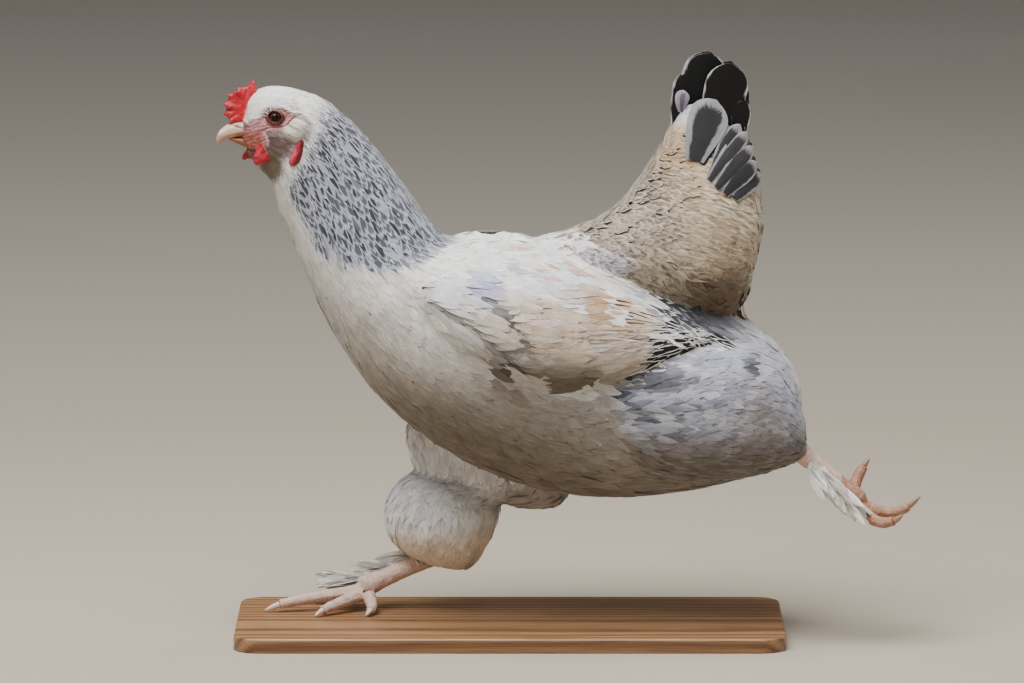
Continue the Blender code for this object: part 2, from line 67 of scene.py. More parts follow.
def piece(name, points, faces):
    """A mesh object from points in millimetres and equal-length faces, riding on the root."""
    mesh = bpy.data.meshes.new(name)
    faces = np.asarray(faces)
    mesh.vertices.add(len(points))
    mesh.vertices.foreach_set("co", (np.asarray(points, float) * MM).ravel())
    mesh.loops.add(faces.size)
    mesh.loops.foreach_set("vertex_index", faces.ravel())
    mesh.polygons.add(len(faces))
    mesh.polygons.foreach_set("loop_start", np.arange(len(faces)) * faces.shape[1])
    mesh.update(calc_edges=True)
    mesh.validate()
    mesh.shade_smooth()
    obj = placed(name, mesh)
    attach(obj, "root")
    return obj


def fill_ends(mesh):
    """Closes a mesh's open rings and turns its faces outwards."""
    edit = bmesh.new()
    edit.from_mesh(mesh)
    bmesh.ops.holes_fill(edit, edges=edit.edges)
    bmesh.ops.recalc_face_normals(edit, faces=edit.faces)
    edit.to_mesh(mesh)
    edit.free()


def grid_faces(rows, columns):
    """Quads between neighbouring points of a grid, whose last column joins the first."""
    i, j = np.meshgrid(np.arange(rows - 1) * columns, np.arange(columns), indexing="ij")
    k = (j + 1) % columns
    return np.stack([i + j, i + k, i + columns + k, i + columns + j], -1).reshape(-1, 4)


def srgb(*values):
    """Linear colour from everyday 0 to 255 values."""
    v = np.array(values, float) / 255
    return np.where(v <= 0.04045, v / 12.92, ((v + 0.055) / 1.055) ** 2.4)


def material(name, **sockets):
    """A Principled material; constants go straight onto the shader's sockets."""
    made = bpy.data.materials.new(name)
    made.use_nodes = True
    tree = made.node_tree
    shader = tree.nodes["Principled BSDF"]
    for socket, value in sockets.items():
        shader.inputs[socket.replace("_", " ")].default_value = value
    return made, tree, shader


def node(tree, kind, inputs=(), **settings):
    """Outputs of a new shader node: settings are its properties, inputs its values or links by
    name or number."""
    made = tree.nodes.new("ShaderNode" + kind)
    for key, value in settings.items():
        setattr(made, key, value)
    for key, value in dict(inputs).items():
        if isinstance(value, bpy.types.NodeSocket):
            tree.links.new(value, made.inputs[key])
        else:
            made.inputs[key].default_value = value
    return made.outputs


def wire(tree, shader, **sockets):
    """Links node outputs to the shader's inputs of these names."""
    for socket, value in sockets.items():
        tree.links.new(value, shader.inputs[socket.replace("_", " ")])


def scaled(tree, colour, factor):
    """A colour times a changing factor."""
    return node(tree, "VectorMath", {0: colour, "Scale": factor}, operation="SCALE")[0]


def remap(tree, value, low, high, start, end, **settings):
    """A value carried from the range low to high over to the range start to end."""
    return node(tree, "MapRange", {"Value": value, "From Min": low, "From Max": high, "To Min": start,
                                   "To Max": end}, **settings)[0]


def noise(tree, place, scale=1.0, detail=3.0, **more):
    """Cloudy noise between 0 and 1 over a place."""
    return node(tree, "TexNoise", {"Vector": place, "Scale": scale, "Detail": detail, **more})[0]


def bump(tree, height, strength, distance):
    """Normal of a fine relief; distance in metres."""
    return node(tree, "Bump", {"Height": height, "Strength": strength, "Distance": distance})[0]


def ramp(tree, factor, *stops):
    """Colour ramp through (place, linear colour) stops."""
    made = tree.nodes.new("ShaderNodeValToRGB")
    tree.links.new(factor, made.inputs[0])
    elements = made.color_ramp.elements
    elements.remove(elements[1])
    elements[0].position, elements[0].color = stops[0][0], (*stops[0][1], 1)
    for place, colour in stops[1:]:
        elements.new(place).color = (*colour, 1)
    return made.outputs["Color"]


def rounded_board():
    """Outline of four quarter circles, carried up the height with the top edge rolled in."""
    turn = np.linspace(0, 2 * math.pi, 97)[:-1]
    corner_x = (BASE_HIGH[0] - BASE_CORNER) * np.sign(np.cos(turn + 1e-9))
    corner_y = (BASE_HIGH[1] - BASE_CORNER) * np.sign(np.sin(turn + 1e-9))
    roll = np.linspace(0, math.pi / 2, 7)
    inset = np.concatenate([[60, BASE_LOW_ROUND, 0], BASE_ROUND * (1 - np.cos(roll)), [5, 60]])
    height = np.concatenate([[0, 0, BASE_LOW_ROUND], TOP - BASE_ROUND * (1 - np.sin(roll)), [TOP, TOP]])
    radius = np.maximum(BASE_CORNER - inset, 1.0)[:, None]
    extra = np.maximum(inset - BASE_CORNER, 0)[:, None]
    x = corner_x - np.sign(corner_x) * extra + radius * np.cos(turn)
    y = corner_y - np.sign(corner_y) * extra + radius * np.sin(turn)
    z = np.repeat(height[:, None], len(turn), 1)
    return np.stack([x, y, z], -1)


rings = rounded_board()
board = piece("display_board", rings.reshape(-1, 3), grid_faces(*rings.shape[:2]))
fill_ends(board.data)
board.data.set_sharp_from_angle(angle=math.radians(50))
oak, tree, shader = material("oiled_oak", Roughness=0.42, Coat_Weight=0.15, Coat_Roughness=0.3)
place = node(tree, "TexCoord")["Object"]
along = node(tree, "Mapping", {"Vector": place, "Location": (0, 0.02, -0.09),
                               "Scale": (GRAIN_STRETCH, 1, 1)})[0]
sway = node(tree, "TexNoise", {"Vector": along, "Scale": 9.0, "Detail": 3.0})["Color"]
bent = node(tree, "Mix", {"Factor": 0.04, "A": along, "B": sway}, data_type="VECTOR")[1]
year_rings = node(tree, "TexWave", {"Vector": bent, "Scale": GRAIN_RINGS, "Distortion": 1.6, "Detail": 3.0},
                  wave_type="RINGS", rings_direction="X")["Fac"]
fibre = noise(tree, node(tree, "Mapping", {"Vector": place, "Scale": (18, 900, 900)})[0], detail=4.0)
pale = ramp(tree, year_rings, (0.0, srgb(120, 82, 50)), (0.55, srgb(158, 116, 76)),
            (1.0, srgb(172, 131, 90)))
pores = ramp(tree, fibre, (0.36, (0.45, 0.4, 0.36)), (0.56, (1, 1, 1)))
wood = node(tree, "Mix", {0: 0.75, 6: pale, 7: pores}, data_type="RGBA", blend_type="MULTIPLY")[2]
wire(tree, shader, Base_Color=wood, Normal=bump(tree, fibre, 0.12, 0.0004))
board.data.materials.append(oak)
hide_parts("stand_base")

# ======================================================================================
# Studio
# A round pale paper floor whose far rim sweeps up all round, lit like an overcast day: a broad sky
# panel overhead, softer ones at front left and rear, and a camera a little above the hen.
# ======================================================================================
VIEW_CENTRE = np.array([1.6, 0, 241.8])        # mm
VIEW_TILT = math.radians(8)
VIEW_DISTANCE, VIEW_LENS = 6000, 257.2         # both mm
FLOOR_FLAT, FLOOR_SWEEP, FLOOR_HIGH = 9800, 1500, 6500      # flat radius, rim's curve and height, mm

turn = np.linspace(0, 2 * math.pi, 97)[:-1]
sweep = np.linspace(0, math.pi / 2, 17)
reach = np.concatenate([[500, 3000], FLOOR_FLAT + FLOOR_SWEEP * np.sin(sweep), [FLOOR_FLAT + FLOOR_SWEEP]])
reach = reach[:, None]
rise = np.concatenate([[0, 0], FLOOR_SWEEP * (1 - np.cos(sweep)), [FLOOR_HIGH]])[:, None]
floor_points = np.stack([reach * np.cos(turn), reach * np.sin(turn), rise + 0 * turn], -1).reshape(-1, 3)
floor_faces = grid_faces(len(reach), len(turn))[:, ::-1].tolist() + [list(range(len(turn)))]
floor_mesh = bpy.data.meshes.new("studio_floor")
floor_mesh.from_pydata((floor_points * MM).tolist(), [], floor_faces)
floor_mesh.shade_smooth()
floor = placed("studio_floor", floor_mesh)
paper, tree, shader = material("studio_paper", Roughness=0.9)
# Painted light: the paper's colour grows paler with distance from the hen, so that the far floor, which the
# lamps light less, still looks pale.
away = node(tree, "VectorMath", {0: node(tree, "TexCoord")["Object"]}, operation="LENGTH")["Value"]
tens = node(tree, "Math", {0: away, 1: 0.1}, operation="MULTIPLY")[0]
wire(tree, shader, Base_Color=ramp(tree, tens, (0.12, srgb(174, 163, 146)), (0.5, srgb(226, 218, 204))))
floor.data.materials.append(paper)


def panel(name, place, target, size, power, colour):
    """A square soft light at place, facing target; millimetres and watts."""
    light = bpy.data.lights.new(name, "AREA")
    light.shape, light.size, light.energy, light.color = "SQUARE", size * MM, power, colour
    obj = placed(name, light)
    obj.location = np.array(place) * MM
    aim = mathutils.Vector(np.array(target, float) - place)
    obj.rotation_euler = aim.to_track_quat("-Z", "Y").to_euler()


panel("sky_panel", (-500, -800, 2600), (0, 0, 200), 2000, 165, (0.97, 0.985, 1.0))
panel("front_panel", (-1900, -2300, 1700), (0, 0, 220), 1700, 10, (1.0, 0.985, 0.96))
panel("rear_panel", (2000, 900, 2100), (0, 0, 220), 1500, 24, (1.0, 0.98, 0.95))
world = bpy.data.worlds.new("studio_air")
world.use_nodes = True
air = world.node_tree.nodes["Background"].inputs
air["Color"].default_value, air["Strength"].default_value = (0.80, 0.84, 0.9, 1), 0.12
bpy.context.scene.world = world

lens = bpy.data.cameras.new("view_camera")
lens.sensor_width, lens.lens, lens.clip_end = 36, VIEW_LENS, 60
camera = placed("view_camera", lens)
view = np.array([0, -math.cos(VIEW_TILT), math.sin(VIEW_TILT)])
camera.location = (VIEW_CENTRE + VIEW_DISTANCE * view) * MM
camera.rotation_euler = (math.pi / 2 - VIEW_TILT, 0, 0)
bpy.context.scene.camera = camera

# ======================================================================================
# Skin
# One skin over head, body, wings, thighs, shanks and toes. It lies inside the solids by the
# depth of the feathers, and comes to the surface on the face, comb, wattles, shanks and toes.
# ======================================================================================
BODY_PARTS = ("head", "neck", "breast", "trunk", "rump", "tail_cushion", "wing_left", "wing_right",
              "thigh_left", "thigh_right", "drumstick_right")
HEAD_PARTS = ("head", "neck", "muff_left", "muff_right")
RED_PARTS = ("comb", "wattle_left", "wattle_right", "earlobe_left", "earlobe_right")
LEG_PARTS = tuple(f"{name}_{side}" for side in ("left", "right")
                  for name in ("shank", "hallux", "toe_2", "toe_3", "toe_4"))
HEAD_TURN = math.radians(7)


def corners(name):
    """Lowest and highest corner of a solid, in mm."""
    return np.array(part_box(name)) / MM


def vertices(mesh):
    """Places of a mesh's vertices, mm, and their normals."""
    places, normals = np.empty((2, len(mesh.vertices) * 3), np.float32)
    mesh.vertices.foreach_get("co", places)
    mesh.vertex_normals.foreach_get("vector", normals)
    return places.reshape(-1, 3).astype(float) / MM, normals.reshape(-1, 3).astype(float)


def place_vertices(mesh, points):
    """Moves a mesh's vertices to these places, mm."""
    mesh.vertices.foreach_set("co", (points * MM).astype(np.float32).ravel())
    mesh.update()


def evaluated(obj):
    """The object's mesh with its modifiers applied."""
    view = bpy.context.evaluated_depsgraph_get()
    return bpy.data.meshes.new_from_object(obj.evaluated_get(view))


def shell(names, voxel, relax, grow=0.25):
    """One closed surface round several solids, each grown a little so that they fuse, in mm."""
    joined = bmesh.new()
    for name in names:
        joined.from_mesh(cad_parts[name].data)
    bmesh.ops.remove_doubles(joined, verts=joined.verts, dist=0.02 * MM)
    bmesh.ops.recalc_face_normals(joined, faces=joined.faces)
    mesh = bpy.data.meshes.new("shell")
    joined.to_mesh(mesh)
    places, normals = vertices(mesh)
    place_vertices(mesh, places + grow * normals)
    obj = placed("shell", mesh)
    fuse = obj.modifiers.new("fuse", "REMESH")
    fuse.mode, fuse.voxel_size = "VOXEL", voxel * MM
    soft = obj.modifiers.new("soften", "SMOOTH")
    soft.factor, soft.iterations = 0.5, relax
    result = evaluated(obj)
    bpy.data.objects.remove(obj)
    result.shade_smooth()
    return result


def ease(low, high, x):
    """Smooth step from 0 at low to 1 at high, in either order."""
    t = np.clip((x - low) / (high - low), 0, 1)
    return t * t * (3 - 2 * t)


# Head frame: forward, left and up from the middle between the eyes.
EYES = {side: corners(f"eye_{side}").mean(0) for side in ("left", "right")}
EYE_RADIUS = np.ptp(corners("eye_left")[:, 2]) / 2
HEAD_MIDDLE = (EYES["left"] + EYES["right"]) / 2
FORWARD = np.array([-math.cos(HEAD_TURN), -math.sin(HEAD_TURN), 0])
LEFT = np.array([math.sin(HEAD_TURN), -math.cos(HEAD_TURN), 0])
UP = np.array([0, 0, 1.0])


def in_head(points):
    """Points measured forward, left and up from the middle between the eyes."""
    return (points - HEAD_MIDDLE) @ np.stack([FORWARD, LEFT, UP], 1)


def oval_reach(local, forward, up, long, high):
    """Distance from a place on the side of the head, 1 on an oval with these half axes."""
    return np.hypot((local[..., 0] - forward) / long, (local[..., 2] - up) / high)


def bare_face(local):
    """1 where the face has no feathers: a drop round the eye pointing at the bill, and the gape."""
    forward, up = local[..., 0], local[..., 2]
    length = np.where(forward > 0, 24, 15)
    height = 9.2 * (1 - np.clip(abs(forward) / length, 0, 1) ** 1.6) ** 0.9 + 0.5
    round_eye = abs(up + 1.7 + 0.22 * forward) / height
    gape = np.hypot((forward - 20) / 14, (up + 17 - 0.2 * (forward - 20)) / 10)
    lores = oval_reach(local, 29, -9, 8, 7)
    return 1 - ease(0.85, 1.15, np.minimum(np.minimum(round_eye, lores), gape))


def depth_of_coat(points):
    """How far the skin lies under the feathers' surface, mm: least on the face, most on the body."""
    local = in_head(points)
    reach = np.linalg.norm(local, axis=1)
    deep = 0.6 + 0.8 * ease(12, 30, reach) + 0.5 * ease(30, 120, reach)
    return np.where(reach < 60, deep * (1 - 0.9 * bare_face(local)), deep)


def orbit(points):
    """How far the face sinks round each eye, mm, so that the lids stand proud in a shallow hollow."""
    local = in_head(points)
    return 2.6 * ease(1.35, 0.75, oval_reach(local, -0.5, 0, 10.5, 7.5)) * (abs(local[..., 1]) > 6)


body_form = shell(BODY_PARTS, 3.0, 6)
head_form = shell(HEAD_PARTS, 0.9, 6)
places, outward = vertices(head_form)
place_vertices(head_form, places - outward * orbit(places)[:, None])


# ======================================================================================
# Feathers: how they are laid
# Each feather is a closed thin vane with a raised shaft. Its root sits in the skin, it lies
# back over its neighbours, and its tip rests on the feathers behind.
# ======================================================================================
SECTION = np.array([-1.0, -0.55, 0.0, 0.55, 1.0, 0.0])      # across a vane: web, shaft, web; underside
OUTSIDE = 170.0                                             # beside the hen, clear of its widest part, mm
NECK_ROOT, NECK_TOP = -120.0, -190.0                        # x between which the head's turn grows, mm
chance = np.random.default_rng(11)


def spline(table, u):
    """Smooth curve through the rows of a table, at row numbers u (Catmull-Rom)."""
    table = np.asarray(table, float)
    u = np.clip(u, 0, len(table) - 1 - 1e-6)
    i = u.astype(int)
    f = (u - i)[..., None]
    p0, p1, p2, p3 = (table[np.clip(i + k, 0, len(table) - 1)] for k in (-1, 0, 1, 2))
    return 0.5 * (2 * p1 + (p2 - p0) * f + (2 * p0 - 5 * p1 + 4 * p2 - p3) * f ** 2
                  + (3 * p1 - p0 - 3 * p2 + p3) * f ** 3)


def turned(points):
    """Swings what lies ahead of the neck's root with the head, growing smoothly up to the neck's top."""
    angle = HEAD_TURN * ease(NECK_ROOT, NECK_TOP, points[..., 0])
    x, y = points[..., 0] - NECK_ROOT, points[..., 1]
    return np.stack([NECK_ROOT + x * np.cos(angle) - y * np.sin(angle),
                     x * np.sin(angle) + y * np.cos(angle), points[..., 2]], -1)


def rings_at(table, u, v, power):
    """Point v of a turn round a ring drawn between an upper and a lower point, at row u."""
    x1, z1, x2, z2, half, side, taper = np.moveaxis(spline(table, u), -1, 0)
    c, s = np.cos(2 * math.pi * v), np.sin(2 * math.pi * v)
    c, s = np.sign(c) * abs(c) ** (2 / power), -np.sign(s) * abs(s) ** (2 / power)
    return turned(np.stack([(x1 + x2) / 2 + c * (x1 - x2) / 2, side + s * half * (1 + taper * c),
                            (z1 + z2) / 2 + c * (z1 - z2) / 2 + TOP], -1))


def unit(v):
    """Directions of length 1."""
    v = np.asarray(v, float)
    return v / np.maximum(np.linalg.norm(v, axis=-1, keepdims=True), 1e-6)


body_target, head_target = placed("body_form", body_form), placed("head_form", head_form)


def drape(points, target, above=0.0, sideways=False):
    """Nearest places on a surface, or straight across the hen; above is a height over it, in mm."""
    flat = points.reshape(-1, 3)
    mesh = bpy.data.meshes.new("drape")
    mesh.vertices.add(len(flat))
    place_vertices(mesh, flat)
    obj = placed("drape", mesh)
    wrap = obj.modifiers.new("wrap", "SHRINKWRAP")
    wrap.target, wrap.wrap_mode, wrap.offset = target, "ABOVE_SURFACE", above * MM
    if sideways:
        wrap.wrap_method, wrap.use_project_y = "PROJECT", True
        wrap.use_negative_direction = wrap.use_positive_direction = True
        wrap.cull_face = "BACK"
    result = vertices(evaluated(obj))[0].reshape(points.shape)
    bpy.data.objects.remove(obj)
    return result


def waves(points, size, seed):
    """Smooth uneven relief between about -1 and 1: sines in many directions, with a given wavelength."""
    pick = np.random.default_rng(seed)
    aim = pick.normal(size=(3, 10))
    aim *= 2 * math.pi / (size * (0.7 + 0.8 * pick.random(10))) / np.linalg.norm(aim, axis=0)
    return np.sin(points @ aim + pick.uniform(0, 6.3, 10)).mean(-1) * 2.2


def rows(guide, start, end, pitch, spacing, arc=(0.0, 1.0)):
    """Roots in staggered rows: u and v of each, from row start to row end, for a pitch along and a
    spacing across given in mm as functions of u."""
    found, u, odd = [], start, 0
    around = np.linspace(*arc, 49)
    while u < end:
        line = guide(np.full(49, u), around)
        step = np.linalg.norm(guide(np.full(49, u + 0.05), around) - line, axis=1).mean() / 0.05
        count = max(int(np.linalg.norm(np.diff(line, axis=0), axis=1).sum() / spacing(u)), 3)
        v = arc[0] + (arc[1] - arc[0]) * (np.arange(count) + 0.25 + 0.5 * odd) / count
        found.append(np.stack([np.full(count, u), v], 1))
        u, odd = u + pitch(u) / max(step, 1e-3), 1 - odd
    found = np.concatenate(found)
    return found[:, 0], found[:, 1]


def outline(t, full, point):
    """Half width of a vane along its length: widest at full, pointed (1) to blunt (4) at the tip."""
    rise = ease(-0.25, full, t)
    fall = (1 - np.clip((t - full) / (1 - full), 0, 1) ** point) ** (1 / 1.6)
    return np.where(t < full, 0.35 + 0.65 * rise, fall)


def split_ends(fray, length, t):
    """How far each strand of a vane's web runs past its end or stops short, growing to the tip."""
    reach = chance.uniform(-1, 0.6, (len(length), 1, 6))
    reach = reach + 0.15 * chance.uniform(-1, 1, (len(length), len(t), 6))
    reach[:, :, 5] = reach[:, :, 2]            # the underside keeps under the shaft
    return fray * length[:, None, None] * reach * ease(0.45, 0.95, t)[:, None]


def along_vane(stations):
    """Stations along a vane from root 0 to tip 1, closer together towards the tip."""
    return 1 - (1 - np.linspace(0, 1, stations)) ** 1.35


def vanes(middle, along, side, normal, t, shape, width, length, fray, curl, keel, **more):
    """Closed thin vanes round their middle lines: six points at each station, spread sideways by the
    outline, bowed down by curl at the edges, with the shaft and the underside at the heights keel."""
    half = shape * width[:, None] / 2
    half[:, -1] = 0.07 * width / 2
    bow = -curl * SECTION ** 2
    bow[2], bow[5] = keel[0], keel[1] - 0.4 * curl
    bow = bow * (0.25 + 0.75 * half / half.max(1, keepdims=True))[..., None]
    points = middle[:, :, None] + side[:, :, None] * (SECTION * half[..., None])[..., None] + (
        normal[:, :, None] * bow[..., None] + along[:, :, None] * split_ends(fray, length, t)[..., None])
    return {"points": points, "t": t, "place": middle[:, int(len(t) * 0.7)], "length": length,
            "width": width, **more}


def lay(guide, u, v, length, width, target, clump=0.0, stations=8, sink=1.3, lift=0.25, spread=0.12,
        full=0.5, point=1.5, curl=0.15, stray=1.0, fray=0.13, strict=7.0, sideways=False, relief=None):
    """Vanes along a guide surface, laid on target. Lengths are in mm: length, width, how deep the root
    sinks, how high the tip lifts and how far the edges curl. spread is how much the vanes differ; full
    and point shape their outline; stray turns them off the lie; fray roughens their ends; clump raises
    and lowers them together in soft waves; vanes that would move further than strict are left out."""
    count = len(u)
    length = length * (1 + spread * chance.normal(size=count))
    width = width * (1 + spread * 0.7 * chance.normal(size=count))
    u = u + 0.25 * spread * chance.normal(size=count)
    ahead = guide(u + 0.02, v) - guide(u, v)
    step = np.minimum(length * 0.02 / np.maximum(np.linalg.norm(ahead, axis=1), 1e-4), 1.5)
    t = along_vane(stations)
    line = guide(u[:, None] + step[:, None] * t, v[:, None] + 0 * t)
    middle = drape(line, target, sideways=sideways)
    if sideways:
        hit = abs(middle - line).max(2) > 1e-3
        for k in range(1, stations):
            middle[:, k, 1] = np.where(hit[:, k], middle[:, k, 1], middle[:, k - 1, 1])
        missed = ~hit[:, :4].all(1)
    else:
        missed = np.linalg.norm(middle - line, axis=2)[:, :-1].max(1) > strict
    missed |= np.linalg.norm(np.diff(middle, axis=1), axis=2).max(1) > 0.7 * length
    middle, u, v, length, width = (a[~missed] for a in (middle, u, v, length, width))
    count = len(u)
    normal = unit(drape(middle, target, above=1.0) - drape(middle, target))
    along = unit(np.gradient(middle, axis=1))
    side = unit(np.cross(normal, along))
    drift = stray * 0.06 * chance.normal(size=(count, 1)) * length[:, None] * t ** 1.5
    rise = lift * (0.3 + 1.1 * chance.random((count, 1))) * t - sink * (1 - t) ** 3 + 0.25 * t
    rise = rise + clump * np.maximum(waves(middle[:, 0], 30, 21), -0.3)[:, None] * (0.4 + 0.6 * t)
    rise = rise + relief(middle) if relief else rise
    middle = middle + side * drift[..., None] + normal * rise[..., None]
    return vanes(middle, along, side, normal, t, outline(t, full, point), width, length, fray, curl,
                 (0.14, -0.22), u=u, v=v)


marked_places, marked_tones = [], []      # of every vane, for the skin beneath
BAKE_PATCH = 0.0015                       # half the width of a vane's patch on the coat's map


def colour_vertices(mesh, name, values):
    """Gives each vertex a colour and a fourth value."""
    layer = mesh.attributes.new(name, "FLOAT_COLOR", "POINT")
    layer.data.foreach_set("color", values.astype(np.float32).ravel())


def coat(name, laid, paint, unwrap, look):
    """Joins vanes into one piece. paint gives each vane its ground and mark colours and its pattern
    (strength, width and reach of the mark); unwrap gives its root's place on the coat's map."""
    blocks = {key: [] for key in ("points", "faces", "vane", "bake", "ground", "mark", "pattern")}
    base = 0
    for one in laid:
        count, stations = one["points"].shape[:2]
        quads = grid_faces(stations, 6)
        last = (stations - 1) * 6
        caps = np.array([[0, 1, 4, 5], [1, 2, 3, 4], [last + 5, last + 4, last + 1, last],
                         [last + 4, last + 3, last + 2, last + 1]])
        quads = np.concatenate([quads[:, ::-1], caps[:, ::-1]])
        blocks["points"].append(one["points"].reshape(-1, 3))
        first = (base + np.arange(count) * stations * 6)[:, None, None]
        blocks["faces"].append((quads + first).reshape(-1, 4))
        across = np.broadcast_to(SECTION, (count, stations, 6))
        along = np.broadcast_to(one["t"][None, :, None], (count, stations, 6))
        blocks["vane"].append(np.stack([across * 0.5 + 0.5, along], -1).reshape(-1, 2))
        root = unwrap(one)[:, None, None]
        blocks["bake"].append((root + BAKE_PATCH * np.stack([across, along * 2 - 1], -1)).reshape(-1, 2))
        ground, mark, marks = paint(one)
        marked_places.append(one["place"])
        marked_tones.append(blend(ground, mark, 0.7 * marks[:, 0] * np.minimum(marks[:, 1], 1)))
        for key, values in zip(("ground", "mark", "pattern"), (ground, mark, marks)):
            values = np.concatenate([np.broadcast_to(values, (count, 3)), chance.random((count, 1))], 1)
            blocks[key].append(np.repeat(values, stations * 6, 0))
        base += count * stations * 6
    blocks = {key: np.concatenate(values) for key, values in blocks.items()}
    obj = piece(name, blocks["points"], blocks["faces"])
    mesh = obj.data
    corner = np.empty(len(mesh.loops), np.int32)
    mesh.loops.foreach_get("vertex_index", corner)
    for key, title in (("vane", "Vane"), ("bake", "OFBake")):
        layer = mesh.uv_layers.new(name=title)
        layer.data.foreach_set("uv", blocks[key][corner].astype(np.float32).ravel())
    for key in ("ground", "mark", "pattern"):
        colour_vertices(mesh, key, blocks[key])
    mesh.set_sharp_from_angle(angle=math.radians(60))
    mesh.materials.append(look)
    return obj


def plumage_group():
    """Colour and relief of one vane. Across and along its web: a dark mark of a given strength, width
    and reach lies down the middle, barbs run out from the shaft, and painted shade darkens the web
    to its root, where it lies under its neighbours."""
    tree = bpy.data.node_groups.new("plumage", "ShaderNodeTree")
    for name, kind, way in (("Ground", "Color", "INPUT"), ("Mark", "Color", "INPUT"),
                            ("Strength", "Float", "INPUT"), ("Width", "Float", "INPUT"),
                            ("Reach", "Float", "INPUT"), ("Seed", "Float", "INPUT"),
                            ("Vane", "Vector", "INPUT"), ("Color", "Color", "OUTPUT"),
                            ("Height", "Float", "OUTPUT")):
        tree.interface.new_socket(name=name, in_out=way, socket_type="NodeSocket" + kind)
    given = tree.nodes.new("NodeGroupInput").outputs
    out = tree.nodes.new("NodeGroupOutput").inputs

    def sums(operation, a, b=0.0, c=0.0):
        """The result of one step of reckoning."""
        return node(tree, "Math", {0: a, 1: b, 2: c}, operation=operation)[0]

    def times(a, b):
        """a times b."""
        return sums("MULTIPLY", a, b)

    def between(low, high, value, start=0.0, end=1.0):
        """Smooth step from start at low to end at high."""
        return remap(tree, value, low, high, start, end, interpolation_type="SMOOTHSTEP")

    def cell(x, y):
        """A place for noise that differs from vane to vane."""
        return node(tree, "CombineXYZ", {"X": x, "Y": y, "Z": seed})[0]

    parts = node(tree, "SeparateXYZ", {"Vector": given["Vane"]})
    across = sums("ABSOLUTE", sums("MULTIPLY_ADD", parts["X"], 2.0, -1.0))
    along = parts["Y"]
    seed = times(given["Seed"], 37.0)
    barb = sums("MULTIPLY_ADD", across, -0.28, along)
    fine = noise(tree, cell(times(barb, 46.0), parts["X"]), 1.0, 2.0, Roughness=0.6)
    patchy = noise(tree, cell(times(barb, 7.0), times(parts["X"], 2.0)), 1.0, 2.0)
    edge = sums("MULTIPLY_ADD", sums("SUBTRACT", patchy, 0.5), 0.35, across)
    within = between(0.0, 0.16, sums("SUBTRACT", given["Width"], edge))
    ragged = sums("MULTIPLY_ADD", sums("SUBTRACT", fine, 0.5), 0.2, along)
    reached = between(0.0, 0.10, sums("SUBTRACT", given["Reach"], ragged))
    mask = times(times(within, reached), given["Strength"])
    marked = node(tree, "Mix", {0: mask, 6: given["Ground"], 7: given["Mark"]}, data_type="RGBA")[2]
    streak = noise(tree, cell(times(parts["X"], 5.0), times(along, 1.6)), 1.0, 1.0)
    # Painted shade: the web darkens towards its root, under the vanes that overlap it.
    shade = times(between(0.1, 0.7, along, 0.82, 1.0), between(0.2, 0.8, fine, 0.88, 1.06))
    shade = times(shade, between(0.25, 0.75, streak, 0.86, 1.07))
    rib = times(between(0.0, 0.10, across, 1.05, 1.0), between(0.5, 0.95, edge, 1.0, 1.12))
    tree.links.new(scaled(tree, marked, times(shade, rib)), out["Color"])
    tree.links.new(fine, out["Height"])
    return tree


plumage_nodes = plumage_group()


def plumage(name, roughness=0.72, sheen=0.25):
    """Material of a coat: each vane's own colours through the plumage group."""
    made, tree, shader = material(name, Roughness=roughness, Sheen_Weight=sheen, Sheen_Roughness=0.5)
    shader.inputs["Specular IOR Level"].default_value = 0.3
    ground, mark, marks = (node(tree, "Attribute", attribute_name=key)
                           for key in ("ground", "mark", "pattern"))
    shares = node(tree, "SeparateColor", {"Color": marks["Color"]})
    group = node(tree, "Group", {
        "Ground": ground["Color"], "Mark": mark["Color"], "Strength": shares["Red"],
        "Width": shares["Green"], "Reach": shares["Blue"], "Seed": marks["Alpha"],
        "Vane": node(tree, "UVMap", uv_map="Vane")[0]}, node_tree=plumage_nodes)
    cloud = noise(tree, node(tree, "TexCoord")["Object"], 95.0, 4.0, Roughness=0.65)
    wire(tree, shader, Base_Color=scaled(tree, group["Color"], remap(tree, cloud, 0.3, 0.7, 0.80, 1.08)),
         Normal=bump(tree, group["Height"], 0.5, 0.0003))
    return made


WHITE, SHADE, SLATE = srgb(240, 237, 232), srgb(200, 198, 206), srgb(62, 62, 72)
BLACK, UMBER_SHADE = srgb(9, 9, 11), srgb(120, 100, 80)


def blend(a, b, share):
    """Between two colours or arrays of colours."""
    return a + (np.asarray(b) - a) * np.asarray(share)[..., None]


def washes(ground, *layers):
    """Colours laid over ground in turn, each with its share; tuples are everyday 0 to 255 values."""
    for colour, share in layers:
        ground = blend(ground, srgb(*colour) if isinstance(colour, tuple) else colour, share)
    return ground


def spot(points, x, z, rx, rz, tilt=0.0, soft=0.5):
    """1 inside an oval drawn on the hen's side and fading to 0 outside; centre, half axes and tilt."""
    dx, dz = points[:, 0] - x, points[:, 2] - z
    c, s = math.cos(math.radians(tilt)), math.sin(math.radians(tilt))
    return 1 - ease(1 - soft, 1 + soft, np.hypot((dx * c + dz * s) / rx, (dz * c - dx * s) / rz))


def band(points, path, reach):
    """1 on a line drawn on the hen's side through x, z points, fading away over reach."""
    place = points.reshape(-1, 1, 3)[:, :, [0, 2]]
    start, run = np.array(path[:-1], float), np.diff(np.array(path, float), axis=0)
    share = np.clip(((place - start) * run).sum(2) / (run ** 2).sum(1), 0, 1)
    away = np.linalg.norm(place - start - share[..., None] * run, axis=2).min(1)
    return np.exp(-(away / reach) ** 2).reshape(points.shape[:-1])


def on_map(across, up):
    """Places on a coat's map from shares of its width and height, inside a thin margin."""
    return np.stack([0.02 + 0.96 * across, 0.02 + 0.96 * up], 1)


def on_half_map(one, across):
    """Places on the half of a map that belongs to the vanes' own side of the hen."""
    return np.stack([0.02 + 0.96 * across, 0.02 + 0.46 * one["v"] + 0.5 * (one["place"][:, 1] > 0)], 1)


